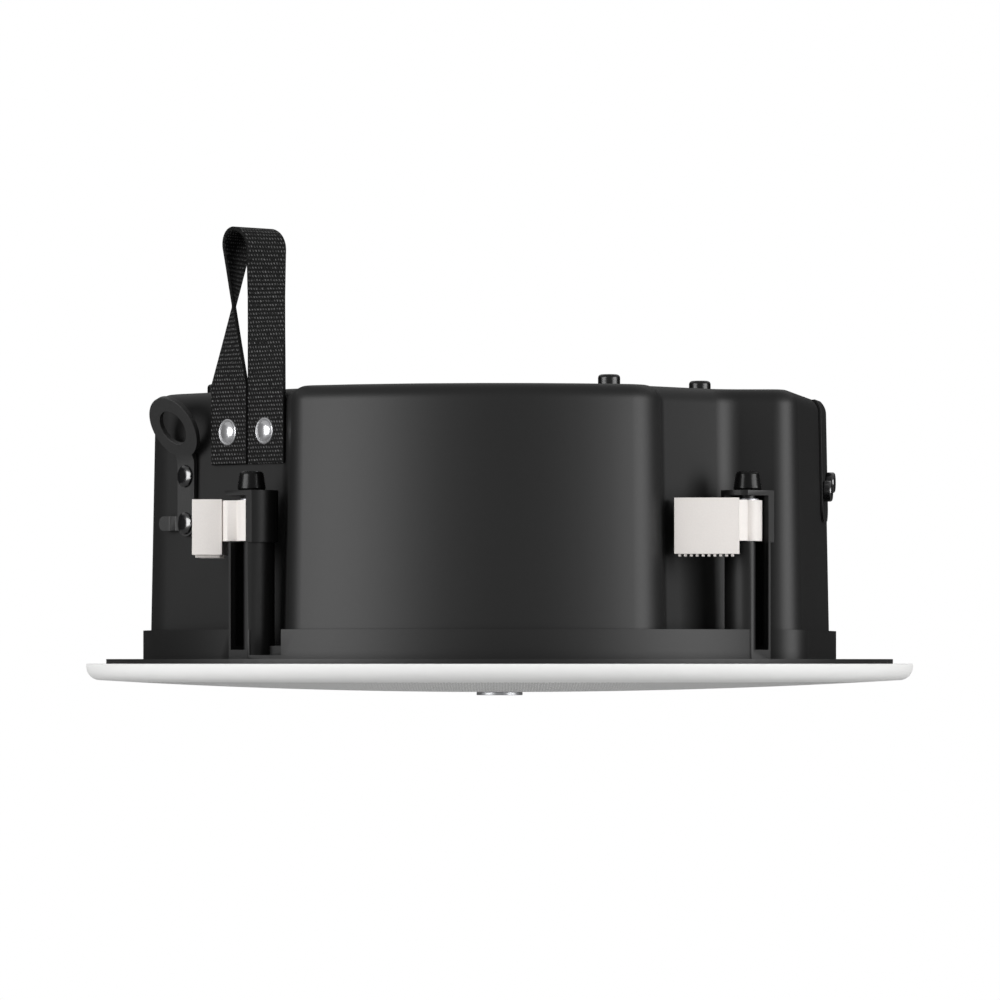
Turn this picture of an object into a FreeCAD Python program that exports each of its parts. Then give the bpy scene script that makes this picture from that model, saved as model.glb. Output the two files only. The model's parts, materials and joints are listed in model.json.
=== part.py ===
import FreeCAD, Part
import Sketcher
import math
import os
import re

os.makedirs("parts", exist_ok=True)
doc = FreeCAD.newDocument("ceiling_speaker")
sheet = doc.addObject("Spreadsheet::Sheet", "Sizes")

# Driving sizes in millimetres and degrees. Heights are above the flange's ceiling side, z = 0.
# A value that starts with = is worked out from the others.
SIZES = [
    # Front frame
    ("skirt_radius", "=can_radius + lip_margin"),
    ("flange_reach", 11.6),
    ("flange_radius", "=skirt_radius + flange_reach"),
    ("flange_thickness", 1.45),
    ("land_width", 5.0),
    ("land_radius", "=flange_radius - land_width"),
    ("land_step", 0.2),
    ("frame_back", "=0 - flange_thickness"),
    ("skirt_height", 8.95),
    ("seat_clearance", 0.25),
    ("post_edge_margin", 1.0),
    ("lip_step_rounding", 2.5),
    ("hub_margin", 15.0),
    ("hub_radius", "=skirt_radius - hub_margin"),
    ("baffle_bottom", 1.0),
    ("baffle_thickness", 3.0),
    ("baffle_top", "=baffle_bottom + baffle_thickness"),
    # Back can
    ("can_radius", 109.7),
    ("can_wall", 2.5),
    ("can_top", 82.7),
    ("can_draft", 1.12),
    ("can_edge_rounding", 5.0),
    ("gasket_thickness", 1.0),
    ("can_bottom", "=baffle_top + gasket_thickness"),
    ("can_height", "=can_top - can_bottom"),
    ("can_roof", "=can_top - can_wall"),
    ("cavity_height", "=can_roof - can_bottom"),
    ("facet_share", 0.8541),
    ("facet_distance", "=can_radius * facet_share"),
    ("left_facet_azimuth", -48.0),
    ("right_facet_azimuth", 49.0),
    ("left_wall_azimuth", -85.0),
    ("left_wall_share", 0.6527),
    ("left_wall_distance", "=can_radius * left_wall_share"),
    ("right_wall_azimuth", 90.0),
    ("right_wall_share", 0.4558),
    ("right_wall_distance", "=can_radius * right_wall_share"),
    ("box_front_share", 0.5725),
    ("box_front_distance", "=can_radius * box_front_share"),
    ("box_side_azimuth", 81.3),
    ("box_side_share", 0.9125),
    ("box_side_distance", "=can_radius * box_side_share"),
    ("back_facet_azimuth", 135.5),
    ("lobe_rounding", 20.0),
    ("bulge_left_rounding", 10.6),
    ("bulge_right_rounding", 15.5),
    ("valley_rounding", 5.0),
    ("wall_valley_rounding", 3.5),
    ("box_valley_rounding", 9.0),
    ("box_corner_rounding", 9.6),
    ("box_back_rounding", 6.0),
    ("lip_margin", 2.4),
    ("box_lip_margin", 1.7),
    # Grille
    ("grille_overhang", 6.3),
    ("grille_radius", "=flange_radius + grille_overhang"),
    ("grille_sheet", 0.9),
    ("grille_rim_depth", 5.15),
    ("grille_rim_rounding", 4.3),
    ("grille_dome_depth", 8.9),
    ("grille_hem", 8.7),
    ("grille_fold", 0.3),
    ("cloth_thickness", 0.4),
    ("cloth_margin", 18.0),
    ("cloth_radius", "=grille_radius - cloth_margin"),
    ("badge_radius", 7.25),
    ("badge_thickness", 1.0),
    ("magnet_button_radius", 4.0),
    ("magnet_button_height", 2.5),
    ("magnet_button_margin", 13.0),
    ("magnet_button_ring", "=grille_radius - magnet_button_margin"),
    # Clamps
    ("post_inset", 3.2),
    ("post_ring", "=can_radius - post_inset"),
    ("post_radius", 7.0),
    ("post_bore", 4.9),
    ("post_top", 35.4),
    ("post_face", 5.6),
    ("slot_width", 6.7),
    ("slot_bottom", 2.8),
    ("head_radius", 8.1),
    ("head_plate", 1.6),
    ("head_top", 51.2),
    ("head_underside", "=head_top - head_plate"),
    ("cap_radius", 4.45),
    ("cap_top_radius", 3.55),
    ("cap_height", 5.8),
    ("cap_wall", 1.2),
    ("clamp_screw_radius", 2.4),
    ("clamp_screw_head_radius", 4.4),
    ("clamp_screw_head_height", 2.6),
    ("running_gap", 0.05),
    ("screw_hole", "=clamp_screw_radius + running_gap"),
    ("access_radius", "=clamp_screw_head_radius + running_gap * 12"),
    ("stow_angle", 48.0),
    ("dog_boss_radius", 4.45),
    ("dog_boss_bottom", 35.8),
    ("dog_boss_top", 48.2),
    ("dog_pad_start", 2.3),
    ("dog_pad_length", 19.5),
    ("dog_pad_inner", 9.3),
    ("dog_pad_thickness", 9.1),
    ("dog_pad_bottom", 31.7),
    ("dog_pad_top", 48.6),
    ("dog_arm_width", 3.2),
    ("dog_arm_face", 7.4),
    ("dog_link_width", 6.0),
    ("dog_ridge", 0.8),
    ("dog_ridge_pitch", 1.77),
    ("dog_ridge_start", "=dog_pad_start + dog_ridge * 2"),
    ("dog_ridge_count", 10),
    ("nut_radius", 3.4),
    ("nut_stand", 0.5),
    # Woofer
    ("cutout_radius", 74.5),
    ("woofer_flange_lap", 8.5),
    ("woofer_flange_radius", "=cutout_radius + woofer_flange_lap"),
    ("woofer_gasket_thickness", 1.0),
    ("basket_sheet", 1.2),
    ("basket_clearance", 4.5),
    ("basket_throat", "=cutout_radius - basket_clearance"),
    ("basket_shoulder_radius", 50.0),
    ("basket_shoulder", 23.0),
    ("spider_landing", 36.0),
    ("basket_back", 34.0),
    ("window_width", 26.0),
    ("window_count", 6),
    ("basket_face", "=baffle_bottom - woofer_gasket_thickness"),
    ("basket_front", "=basket_face - basket_sheet"),
    ("top_plate_radius", 36.0),
    ("top_plate_thickness", 5.0),
    ("magnet_radius", 40.0),
    ("magnet_bore", 20.0),
    ("magnet_thickness", 14.0),
    ("back_plate_thickness", 5.0),
    ("pole_radius", 12.0),
    ("coil_gap_radius", 13.5),
    ("former_radius", 12.4),
    ("former_sheet", 0.2),
    ("winding_thickness", 0.4),
    ("winding_length", 7.0),
    ("cone_paper", 0.6),
    ("surround_width", 8.0),
    ("cone_edge_radius", "=basket_throat - surround_width"),
    ("cone_neck_height", 20.0),
    ("surround_roll", 4.2),
    ("surround_rubber", 0.7),
    ("spider_cloth", 0.5),
    ("spider_wave", 1.6),
    ("woofer_travel", 2.5),
    ("screw_ring", "=woofer_flange_radius - small_screw_head_radius - small_screw_radius / 2"),
    ("small_screw_radius", 1.9),
    ("small_screw_head_radius", 3.5),
    ("small_screw_head_height", 2.2),
    ("plate_bottom", "=basket_back + basket_sheet"),
    ("magnet_bottom", "=plate_bottom + top_plate_thickness"),
    ("yoke_bottom", "=magnet_bottom + magnet_thickness"),
    ("yoke_top", "=yoke_bottom + back_plate_thickness"),
    # Tweeter
    ("tweeter_post_radius", 4.0),
    ("tweeter_post_bore", 2.0),
    ("tweeter_radius", 15.5),
    ("tweeter_front", -1.0),
    ("tweeter_depth", 12.0),
    ("tweeter_wall", 1.6),
    ("tweeter_back", "=tweeter_front + tweeter_depth"),
    ("tweeter_magnet_radius", 11.0),
    ("tweeter_magnet_height", 6.0),
    ("dome_radius", 12.5),
    ("dome_height", 3.5),
    ("dome_film", 0.4),
    ("dome_mouth", 13.2),
    # Crossover
    ("board_x", -8.0),
    ("board_y", 40.0),
    ("board_length", 70.0),
    ("board_width", 44.0),
    ("board_thickness", 1.6),
    ("standoff_height", 6.0),
    ("standoff_radius", 3.2),
    ("standoff_inset", 5.0),
    ("board_top", "=can_roof - standoff_height"),
    ("board_bottom", "=board_top - board_thickness"),
    ("coil_radius", 11.0),
    ("coil_bore", 5.0),
    ("coil_height", 8.5),
    ("capacitor_radius", 5.0),
    ("capacitor_length", 20.0),
    ("resistor_length", 22.0),
    ("resistor_width", 7.0),
    ("resistor_height", 6.0),
    # Terminal side
    ("cover_width", 16.0),
    ("cover_thickness", 0.8),
    ("cover_bottom", 43.4),
    ("cover_corner_rounding", 5.0),
    ("cover_wrap_angle", 48.0),
    ("cover_bevel_angle", 9.0),
    ("cover_shift", 28.5),
    ("cover_brow", "=can_top - can_edge_rounding"),
    ("terminal_face", "=box_side_distance - (cover_brow - can_bottom) * tan(can_draft)"),
    ("terminal_length", 11.5),
    ("terminal_height", 13.0),
    ("terminal_depth", 13.0),
    ("terminal_bottom", 60.0),
    ("button_radius", 3.45),
    ("button_height", 1.3),
    ("cover_button_radius", 3.3),
    ("cover_button_height", 2.7),
    ("button_shank_radius", 1.6),
    ("button_shank_length", 4.0),
    ("dome_crown_share", 0.6),
    ("dome_flat_share", 0.35),
    ("cheese_crown_share", 0.3),
    ("cheese_flat_share", 0.75),
    ("pilot_gap", 0.05),
    ("shank_hole", "=button_shank_radius + pilot_gap"),
    ("cover_near_screw", 24.2),
    ("cover_near_height", 53.1),
    ("cover_far_screw", 32.8),
    ("cover_far_height", 56.0),
    # Safety bracket
    ("bracket_shift", -40.5),
    ("bracket_width", 8.1),
    ("bracket_sheet", 1.5),
    ("bracket_low_screw", 42.1),
    ("bracket_high_screw", 56.7),
    ("bracket_bend", 61.8),
    ("bracket_lean", 26.7),
    ("eye_radius", 10.2),
    ("eye_bore", 5.6),
    ("eye_rise", 11.7),
    ("tongue_reach", 11.5),
    ("tongue_width", 4.6),
    ("tongue_step", 1.4),
    ("tongue_lead", 0.9),
    # Carry strap
    ("strap_width", 17.0),
    ("strap_thickness", 1.4),
    ("strap_pitch", 17.6),
    ("strap_shift", -11.6),
    ("strap_foot_margin", 10.0),
    ("strap_bottom", "=rivet_height_place - strap_foot_margin"),
    ("strap_release_margin", 14.6),
    ("strap_release", "=rivet_height_place + strap_release_margin"),
    ("strap_loop_centre", 125.3),
    ("strap_loop_radius", 6.5),
    ("strap_loop_inset", 1.6),
    ("strap_loop_distance", "=facet_distance - strap_loop_inset"),
    ("strap_loop_angle", 4.7),
    ("rivet_height_place", 69.8),
    ("rivet_radius", 4.1),
    ("rivet_head", 1.5),
    ("rivet_shank_radius", 1.9),
    ("rivet_hole", "=rivet_shank_radius + pilot_gap"),
    # Small pieces
    ("bumper_radius", 3.4),
    ("bumper_height", 4.4),
    ("front_bumper_x", 33.5),
    ("back_bumper_y", 60.0),
    ("box_bumper_x", 62.7),
    ("box_bumper_y", 12.3),
    ("left_bumper_x", 89.2),
    ("left_bumper_y", 13.0),
    ("can_screw_length", 12.0),
    ("boss_radius", 4.2),
    ("boss_height", 14.0),
    ("boss_overlap", 1.0),
    ("lining_outer", "=facet_distance - can_wall - soft_gap * 8"),
    ("lining_thickness", 8.0),
    ("lining_top", 55.0),
    ("soft_gap", 0.3),
]

for row, (alias, value) in enumerate(SIZES, start=1):
    sheet.set(f"A{row}", alias)
    sheet.set(f"B{row}", str(value))
    sheet.setAlias(f"B{row}", alias)
doc.recompute()

ALIASES = {alias for alias, value in SIZES}
UP = FreeCAD.Vector(0, 0, 1)
POST_AZIMUTHS = [-45, 45, 135, 225]
# The post beside the box, where the skirt runs on without a notch.
BOX_POST = 2
# Azimuths of the woofer's screws, distance and azimuth of the can's screw bosses, places of the bumpers.
WOOFER_SCREWS = [22.5, 112.5, 202.5, 292.5]
WALL_BOSS = "can_radius - can_wall - boss_radius + boss_overlap"
SIDE_BOSS = "box_side_distance - can_wall - boss_radius + boss_overlap"
CAN_SCREWS = [(WALL_BOSS, "0"), (SIDE_BOSS, "box_side_azimuth"), (WALL_BOSS, "180"), (WALL_BOSS, "270")]
BUMPERS = [("front_bumper_x", "0 - back_bumper_y"), ("box_bumper_x", "0 - box_bumper_y"),
           ("0 - left_bumper_x", "left_bumper_y"), ("0 - front_bumper_x", "back_bumper_y")]
nodes = []


def size(text):
    # Value of a size, or of sizes added and taken away, such as "can_top - can_wall".
    total = 0.0
    sign = 1
    for word in text.split():
        if word in "+-":
            sign = 1 if word == "+" else -1
        else:
            amount = float(sheet.get(word)) if word in ALIASES else float(word)
            total += sign * amount
            sign = 1
    return total


def rule(text):
    # The same sizes as an expression on the sheet.
    return re.sub(r"[a-z_]+", lambda word: "Sizes." + word[0] if word[0] in ALIASES else word[0], str(text))


def bind(item, prop, text):
    item.setExpression(prop, rule(text))


def place(item, x="0", y="0", z="0", turn=None):
    bind(item, "Placement.Base.x", x)
    bind(item, "Placement.Base.y", y)
    bind(item, "Placement.Base.z", z)
    if turn is not None:
        bind(item, "Placement.Rotation.Angle", turn)
    return item


def name_node(item, label):
    item.Label = label
    nodes.append(item)
    return item


def cylinder(name, radius, length, x="0", y="0", z="0"):
    item = doc.addObject("Part::Cylinder", name)
    bind(item, "Radius", radius)
    bind(item, "Height", length)
    return place(item, x, y, z)


def cone(name, low_radius, high_radius, length, x="0", y="0", z="0"):
    item = doc.addObject("Part::Cone", name)
    bind(item, "Radius1", low_radius)
    bind(item, "Radius2", high_radius)
    bind(item, "Height", length)
    return place(item, x, y, z)


def box(name, length, width, height, x, y, z, turn=None):
    item = doc.addObject("Part::Box", name)
    bind(item, "Length", length)
    bind(item, "Width", width)
    bind(item, "Height", height)
    return place(item, x, y, z, turn)


def fuse(name, pieces):
    item = doc.addObject("Part::MultiFuse", name)
    item.Shapes = pieces
    return item


def cut(name, base, tool):
    item = doc.addObject("Part::Cut", name)
    item.Base = base
    item.Tool = tool
    return item


def group(name, pieces):
    item = doc.addObject("Part::Compound", name)
    item.Links = pieces
    return item


def feature(name, shape):
    item = doc.addObject("Part::Feature", name)
    item.Shape = shape
    return item


def ring_x(radius, azimuth):
    return f"{radius} * sin({azimuth})"


def ring_y(radius, azimuth):
    return f"-{radius} * cos({azimuth})"


def plane_of(body, role):
    return next(item for item in body.Origin.OriginFeatures if item.Role == role)


def new_sketch(body, name, role):
    sketch = body.newObject("Sketcher::SketchObject", name)
    sketch.AttachmentSupport = [(plane_of(body, role), "")]
    sketch.MapMode = "FlatFace"
    return sketch


def draw_polygon(sketch, points):
    # Closed outline whose corners lie at named sizes from the sketch's origin.
    spots = [FreeCAD.Vector(size(across), size(up), 0) for across, up in points]
    count = len(spots)
    for index in range(count):
        sketch.addGeometry(Part.LineSegment(spots[index], spots[(index + 1) % count]), False)
    for index in range(count):
        sketch.addConstraint(Sketcher.Constraint("Coincident", index, 2, (index + 1) % count, 1))
    for index, (across, up) in enumerate(points):
        for kind, text, amount in (("DistanceX", across, spots[index].x), ("DistanceY", up, spots[index].y)):
            if text == "0":
                axis = -2 if kind == "DistanceX" else -1
                sketch.addConstraint(Sketcher.Constraint("PointOnObject", index, 1, axis))
                continue
            number = sketch.addConstraint(Sketcher.Constraint(kind, -1, 1, index, 1, amount))
            bind(sketch, f"Constraints[{number}]", text)


def draw_circle(sketch, radius, across="0", up="0"):
    centre = FreeCAD.Vector(size(across), size(up), 0)
    circle = sketch.addGeometry(Part.Circle(centre, UP, size(radius)), False)
    number = sketch.addConstraint(Sketcher.Constraint("Radius", circle, size(radius)))
    bind(sketch, f"Constraints[{number}]", radius)
    for kind, text, amount in (("DistanceX", across, centre.x), ("DistanceY", up, centre.y)):
        if text == "0":
            axis = -2 if kind == "DistanceX" else -1
            sketch.addConstraint(Sketcher.Constraint("PointOnObject", circle, 3, axis))
            continue
        number = sketch.addConstraint(Sketcher.Constraint(kind, -1, 1, circle, 3, amount))
        bind(sketch, f"Constraints[{number}]", text)


def turned(name, points):
    # Body turned about the speaker's axis from an outline of (radius, height) corners.
    body = doc.addObject("PartDesign::Body", name)
    sketch = new_sketch(body, name + "_profile", "XZ_Plane")
    draw_polygon(sketch, points)
    turn = body.newObject("PartDesign::Revolution", name + "_turn")
    turn.Profile = sketch
    turn.ReferenceAxis = (sketch, ["V_Axis"])
    turn.Angle = 360
    body.Tip = turn
    return body


def pad(body, name, bottom, height, points=None, circle=None):
    sketch = new_sketch(body, name + "_outline", "XY_Plane")
    bind(sketch, "AttachmentOffset.Base.z", bottom)
    if points:
        draw_polygon(sketch, points)
    else:
        draw_circle(sketch, *circle)
    item = body.newObject("PartDesign::Pad", name)
    item.Profile = sketch
    bind(item, "Length", height)
    body.Tip = item
    return item


def bore(body, name, circle):
    sketch = new_sketch(body, name + "_outline", "XY_Plane")
    draw_circle(sketch, *circle)
    item = body.newObject("PartDesign::Pocket", name)
    item.Profile = sketch
    item.Type = "ThroughAll"
    item.Midplane = True
    body.Tip = item
    return item


# Outlines seen from above. A side is a straight wall, given by the azimuth that it faces and its distance
# from the axis, or a round wall about the axis, given by its radius. Azimuth 0 faces -Y, 90 faces +X.
def facing(azimuth):
    return FreeCAD.Vector(math.sin(math.radians(azimuth)), -math.cos(math.radians(azimuth)), 0)


def along(azimuth):
    return FreeCAD.Vector(math.cos(math.radians(azimuth)), math.sin(math.radians(azimuth)), 0)


def corner(first, second, rounding, bend):
    # Tangent arc between two sides; bend is 1 at an outer corner and -1 at an inner one.
    reach = bend * rounding
    if first[0] == "round" or second[0] == "round":
        flat = second if first[0] == "round" else first
        radius = first[1] if first[0] == "round" else second[1]
        azimuth, distance = flat[1], flat[2] - reach
        half = math.sqrt((radius - reach) ** 2 - distance ** 2)
        travel = -half if first[0] == "round" else half
        centre = facing(azimuth) * distance + along(azimuth) * travel
    else:
        one, two = facing(first[1]), facing(second[1])
        low, high = first[2] - reach, second[2] - reach
        det = one.x * two.y - one.y * two.x
        centre = FreeCAD.Vector((low * two.y - high * one.y) / det, (one.x * high - two.x * low) / det, 0)
    normals = [centre.normalize() if side[0] == "round" else facing(side[1])
               for side, centre in ((first, FreeCAD.Vector(centre)), (second, FreeCAD.Vector(centre)))]
    middle = (normals[0] + normals[1]).normalize()
    return [centre + normals[0] * reach, centre + middle * reach, centre + normals[1] * reach]


def outline(sides, margin=0.0):
    # Each side is followed by the rounding and bend of the corner at its end. The margin moves every side
    # outwards, and the roundings follow.
    sides = [((*side[:-1], side[-1] + margin), rounding + bend * margin, bend) for side, rounding, bend in sides]
    corners = []
    for index, (side, rounding, bend) in enumerate(sides):
        corners.append(corner(side, sides[(index + 1) % len(sides)][0], rounding, bend))
    edges = []
    for index, (side, rounding, bend) in enumerate(sides):
        start, end = corners[index - 1][2], corners[index][0]
        if side[0] == "round":
            sweep = (math.atan2(end.y, end.x) - math.atan2(start.y, start.x)) % (2 * math.pi)
            middle = FreeCAD.Rotation(UP, math.degrees(sweep / 2)).multVec(start)
            edges.append(Part.Arc(start, middle, end).toShape())
        else:
            edges.append(Part.LineSegment(start, end).toShape())
        edges.append(Part.Arc(*corners[index]).toShape())
    return Part.Wire(edges)


def can_sides():
    bulge = ("round", size("can_radius"))
    facet = size("facet_distance")
    back_left = 180 + size("right_facet_azimuth")
    left_wall = size("left_wall_distance")
    right_wall = size("right_wall_distance")
    front = size("box_front_distance")
    side = size("box_side_distance")
    return [
        (bulge, size("bulge_right_rounding"), 1),
        (("flat", size("right_wall_azimuth"), right_wall), size("wall_valley_rounding"), -1),
        (("flat", size("right_facet_azimuth"), facet), size("box_valley_rounding"), -1),
        (("flat", 0, front), size("box_corner_rounding"), 1),
        (("flat", size("box_side_azimuth"), side), size("box_back_rounding"), 1),
        (("flat", size("back_facet_azimuth"), facet), size("valley_rounding"), -1),
        (("flat", 180 + size("left_wall_azimuth"), left_wall), size("bulge_left_rounding"), 1),
        (bulge, size("bulge_right_rounding"), 1),
        (("flat", 180 + size("right_wall_azimuth"), right_wall), size("wall_valley_rounding"), -1),
        (("flat", back_left, facet), size("lobe_rounding"), 1),
        (bulge, size("lobe_rounding"), 1),
        (("flat", size("left_facet_azimuth"), facet), size("valley_rounding"), -1),
        (("flat", size("left_wall_azimuth"), left_wall), size("bulge_left_rounding"), 1),
    ]


def extruded(name, wire, bottom, height, taper=None):
    # Outline drawn at its bottom height and raised, drawn in by the draft where one is named.
    base = feature(name + "_outline", wire)
    place(base, "0", "0", bottom)
    item = doc.addObject("Part::Extrusion", name)
    item.Base = base
    item.DirMode = "Custom"
    item.Dir = UP
    item.Solid = True
    bind(item, "LengthFwd", height)
    if taper:
        bind(item, "TaperAngle", taper)
    return item


def wall_spot(distance, shift, azimuth):
    # Point on a wall: its distance from the axis and its shift along the wall, as expressions.
    return (f"({distance}) * sin({azimuth}) + ({shift}) * cos({azimuth})",
            f"({shift}) * sin({azimuth}) - ({distance}) * cos({azimuth})")


def wall_box(name, azimuth, distance, shift, bottom, length, depth, height):
    # Box whose outer face lies on a wall and whose middle is at the shift.
    spot = wall_spot(distance, f"{shift} - {length} / 2", azimuth)
    return box(name, length, depth, height, spot[0], spot[1], bottom, azimuth)


def facet_at(height, azimuth_distance="facet_distance"):
    # Distance of a drafted wall from the axis at a height.
    return size(azimuth_distance) - (height - size("can_bottom")) * math.tan(math.radians(size("can_draft")))


def stud(azimuth, distance, shift, height, head_radius, head_height, shank_radius, shank_length, head="dome"):
    # Fastener that enters a wall; distance is that of the head's underside.
    crown = head_height * size(f"{head}_crown_share")
    flat = head_radius * size(f"{head}_flat_share")
    face = [FreeCAD.Vector(*spot) for spot in (
        (0, 0, -shank_length), (shank_radius, 0, -shank_length), (shank_radius, 0, 0),
        (head_radius, 0, 0), (head_radius, 0, head_height - crown),
        (flat, 0, head_height), (0, 0, head_height))]
    edges = [Part.LineSegment(face[index], face[index + 1]).toShape() for index in range(4)]
    rise = FreeCAD.Vector((head_radius + flat) * 0.54, 0, head_height - crown * 0.32)
    edges.append(Part.Arc(face[4], rise, face[5]).toShape())
    edges.append(Part.LineSegment(face[5], face[6]).toShape())
    edges.append(Part.LineSegment(face[6], face[0]).toShape())
    shape = Part.Face(Part.Wire(edges)).revolve(FreeCAD.Vector(), UP, 360)
    lean = FreeCAD.Rotation(FreeCAD.Vector(1, 0, 0), 90)
    turn = FreeCAD.Rotation(UP, azimuth)
    spot = facing(azimuth) * distance + along(azimuth) * shift + FreeCAD.Vector(0, 0, height)
    shape.Placement = FreeCAD.Placement(spot, turn.multiply(lean))
    return shape


def drilled(azimuth, distance, shift, height, radius, depth):
    # Straight hole into a wall from just outside it.
    inward = facing(azimuth) * -1
    mouth = facing(azimuth) * (distance + 1) + along(azimuth) * shift + FreeCAD.Vector(0, 0, height)
    return Part.makeCylinder(radius, depth + 1, mouth, inward)


def skin_of_revolution(name, edges):
    # Solid of revolution about the speaker's axis from edges drawn in the XZ plane.
    face = Part.Face(Part.Wire(edges))
    return feature(name, face.revolve(FreeCAD.Vector(), UP, 360))


def spot(across, up):
    return FreeCAD.Vector(across, 0, up)


def line(start, end):
    return Part.LineSegment(start, end).toShape()


def arc(start, middle, end):
    return Part.Arc(start, middle, end).toShape()


def dome_height(radius, edge_radius, edge_height, crown_height):
    # Height of a shallow dome at a radius, from its edge and its crown.
    sag = edge_height - crown_height
    ball = (edge_radius ** 2 + sag ** 2) / (2 * sag)
    return crown_height + ball - math.sqrt(ball ** 2 - radius ** 2)


def skirt_sides(rim_margin, box_margin):
    # The can's outline without its valleys, at one margin round the rim and another along the box.
    post_edge = size("post_ring") * math.sin(math.radians(45)) + size("post_edge_margin")
    return [
        (("round", size("can_radius") + rim_margin), size("lip_step_rounding"), 1),
        (("flat", size("right_wall_azimuth"), post_edge + rim_margin - size("lip_margin")), 1.0, -1),
        (("flat", 0, size("box_front_distance") + box_margin), size("box_corner_rounding") + box_margin, 1),
        (("flat", size("box_side_azimuth"), size("box_side_distance") + box_margin),
         size("box_back_rounding") + box_margin, 1),
    ]


def post_boxes(azimuth, index):
    # Slot and front flat of one post.
    slot = wall_box(f"post_slot_{index}", azimuth, "post_ring + post_radius * 2", "0",
                    "slot_bottom", "slot_width", "post_radius * 2", "post_top")
    flat = wall_box(f"post_flat_{index}", azimuth, "post_ring + post_radius * 3", "0",
                    "0", "post_radius * 4", "post_radius * 3 - post_face", "head_top * 2")
    return slot, flat


def front_frame():
    rim = turned("flange", [
        ("hub_radius", "frame_back"), ("flange_radius", "frame_back"), ("flange_radius", "0"),
        ("land_radius", "0"), ("land_radius", "0 - land_step"), ("hub_radius", "0 - land_step")])
    lip = extruded("skirt", outline(skirt_sides(size("lip_margin"), size("box_lip_margin"))),
                   "0 - land_step", "skirt_height + land_step")
    hollow = extruded("skirt_hollow", outline(skirt_sides(size("seat_clearance"), size("seat_clearance"))),
                      "baffle_top", "skirt_height")
    tub = cylinder("tub", "hub_radius", "baffle_bottom + flange_thickness", "0", "0", "frame_back")
    mouth = cylinder("mouth", "cutout_radius", "skirt_height * 4", "0", "0", "0 - skirt_height")
    reliefs, tubes, slots, flats, bores, screw_holes = [], [], [], [], [], []
    for index, azimuth in enumerate(POST_AZIMUTHS, start=1):
        spot_x, spot_y = ring_x("post_ring", azimuth), ring_y("post_ring", azimuth)
        corner_x, corner_y = wall_spot("post_ring + head_radius", "post_bore", azimuth)
        if index != BOX_POST:
            reliefs.append(box(f"relief_{index}", "post_radius + post_face", "head_radius + 1", "skirt_height",
                               corner_x, corner_y, "baffle_bottom + 0.2", str(azimuth)))
        tubes.append(cylinder(f"post_tube_{index}", "post_radius", "post_top", spot_x, spot_y))
        slot, flat = post_boxes(azimuth, index)
        slots.append(slot)
        flats.append(cut(f"post_front_{index}", flat, cylinder(f"post_keep_{index}", "skirt_radius",
                         "skirt_height", "0", "0", "0 - land_step")))
        bores.append(cylinder(f"post_bore_{index}", "post_bore", "post_top * 2", spot_x, spot_y, "baffle_top"))
        screw_holes.append(cylinder(f"post_hole_{index}", "screw_hole", "post_top", spot_x, spot_y,
                                    "0 - land_step"))
        screw_holes.append(cylinder(f"post_access_{index}", "access_radius",
                                    "flange_thickness * 2 + baffle_bottom", spot_x, spot_y,
                                    "0 - flange_thickness * 2"))
    for index, azimuth in enumerate(WOOFER_SCREWS, start=1):
        screw_holes.append(cylinder(f"baffle_pilot_{index}", "small_screw_radius + pilot_gap",
                                    "skirt_height", ring_x("screw_ring", azimuth),
                                    ring_y("screw_ring", azimuth), "0"))
    for index, (distance, azimuth) in enumerate(CAN_SCREWS, start=1):
        spot_x, spot_y = ring_x(f"({distance})", azimuth), ring_y(f"({distance})", azimuth)
        screw_holes.append(cylinder(f"baffle_hole_{index}", "small_screw_radius + pilot_gap",
                                    "skirt_height", spot_x, spot_y, "0"))
        screw_holes.append(cylinder(f"baffle_access_{index}", "small_screw_head_radius + soft_gap",
                                    "flange_thickness * 2 + baffle_bottom", spot_x, spot_y,
                                    "0 - flange_thickness * 2"))
    ring = cut("skirt_ring", lip, fuse("skirt_voids", [hollow, tub, mouth] + reliefs))
    solid = fuse("frame_solid", [rim, ring] + tubes)
    voids = fuse("frame_voids", slots + flats + bores + screw_holes)
    name_node(cut("front_frame_shape", solid, voids), "front_frame")


def back_can():
    shell = extruded("can_block", outline(can_sides()), "can_bottom", "can_height", "0 - can_draft")
    doc.recompute()
    top = size("can_top")
    rim = [number for number, edge in enumerate(shell.Shape.Edges, start=1)
           if all(abs(vertex.Z - top) < 1e-4 for vertex in edge.Vertexes)]
    rounded = doc.addObject("Part::Fillet", "can_rounded")
    rounded.Base = shell
    rounding = size("can_edge_rounding")
    rounded.Edges = [(number, rounding, rounding) for number in rim]
    cavity = extruded("can_cavity", outline(can_sides(), -size("can_wall")), "can_bottom", "cavity_height",
                      "0 - can_draft")
    hull = cut("can_hull", rounded, cavity)
    bosses, pilots = [], []
    for index, (distance, azimuth) in enumerate(CAN_SCREWS, start=1):
        across, up = ring_x(f"({distance})", azimuth), ring_y(f"({distance})", azimuth)
        bosses.append(cylinder(f"can_boss_{index}", "boss_radius", "boss_height", across, up, "can_bottom"))
        pilots.append(cylinder(f"can_pilot_{index}", "small_screw_radius + pilot_gap", "can_screw_length",
                               across, up, "can_bottom"))
    body = fuse("can_body", [hull] + bosses)
    port = wall_box("terminal_port", "box_side_azimuth", "box_side_distance + 1", "cover_shift",
                    "terminal_bottom - soft_gap", "(terminal_length + soft_gap * 2)", "can_wall * 3",
                    "terminal_height + soft_gap * 2")
    holes = [feature(f"wall_hole_{index}", drilled(*spot_, size("shank_hole"), size("can_wall") * 3))
             for index, spot_ in enumerate(wall_screw_places(), start=1)]
    rivet_holes = [feature(f"rivet_hole_{index}", drilled(*spot_, size("rivet_hole"), size("can_wall") * 3))
                   for index, spot_ in enumerate(rivet_places(), start=1)]
    voids = fuse("can_voids", pilots + [port] + holes + rivet_holes)
    name_node(cut("back_can_shape", body, voids), "back_can")


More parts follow.
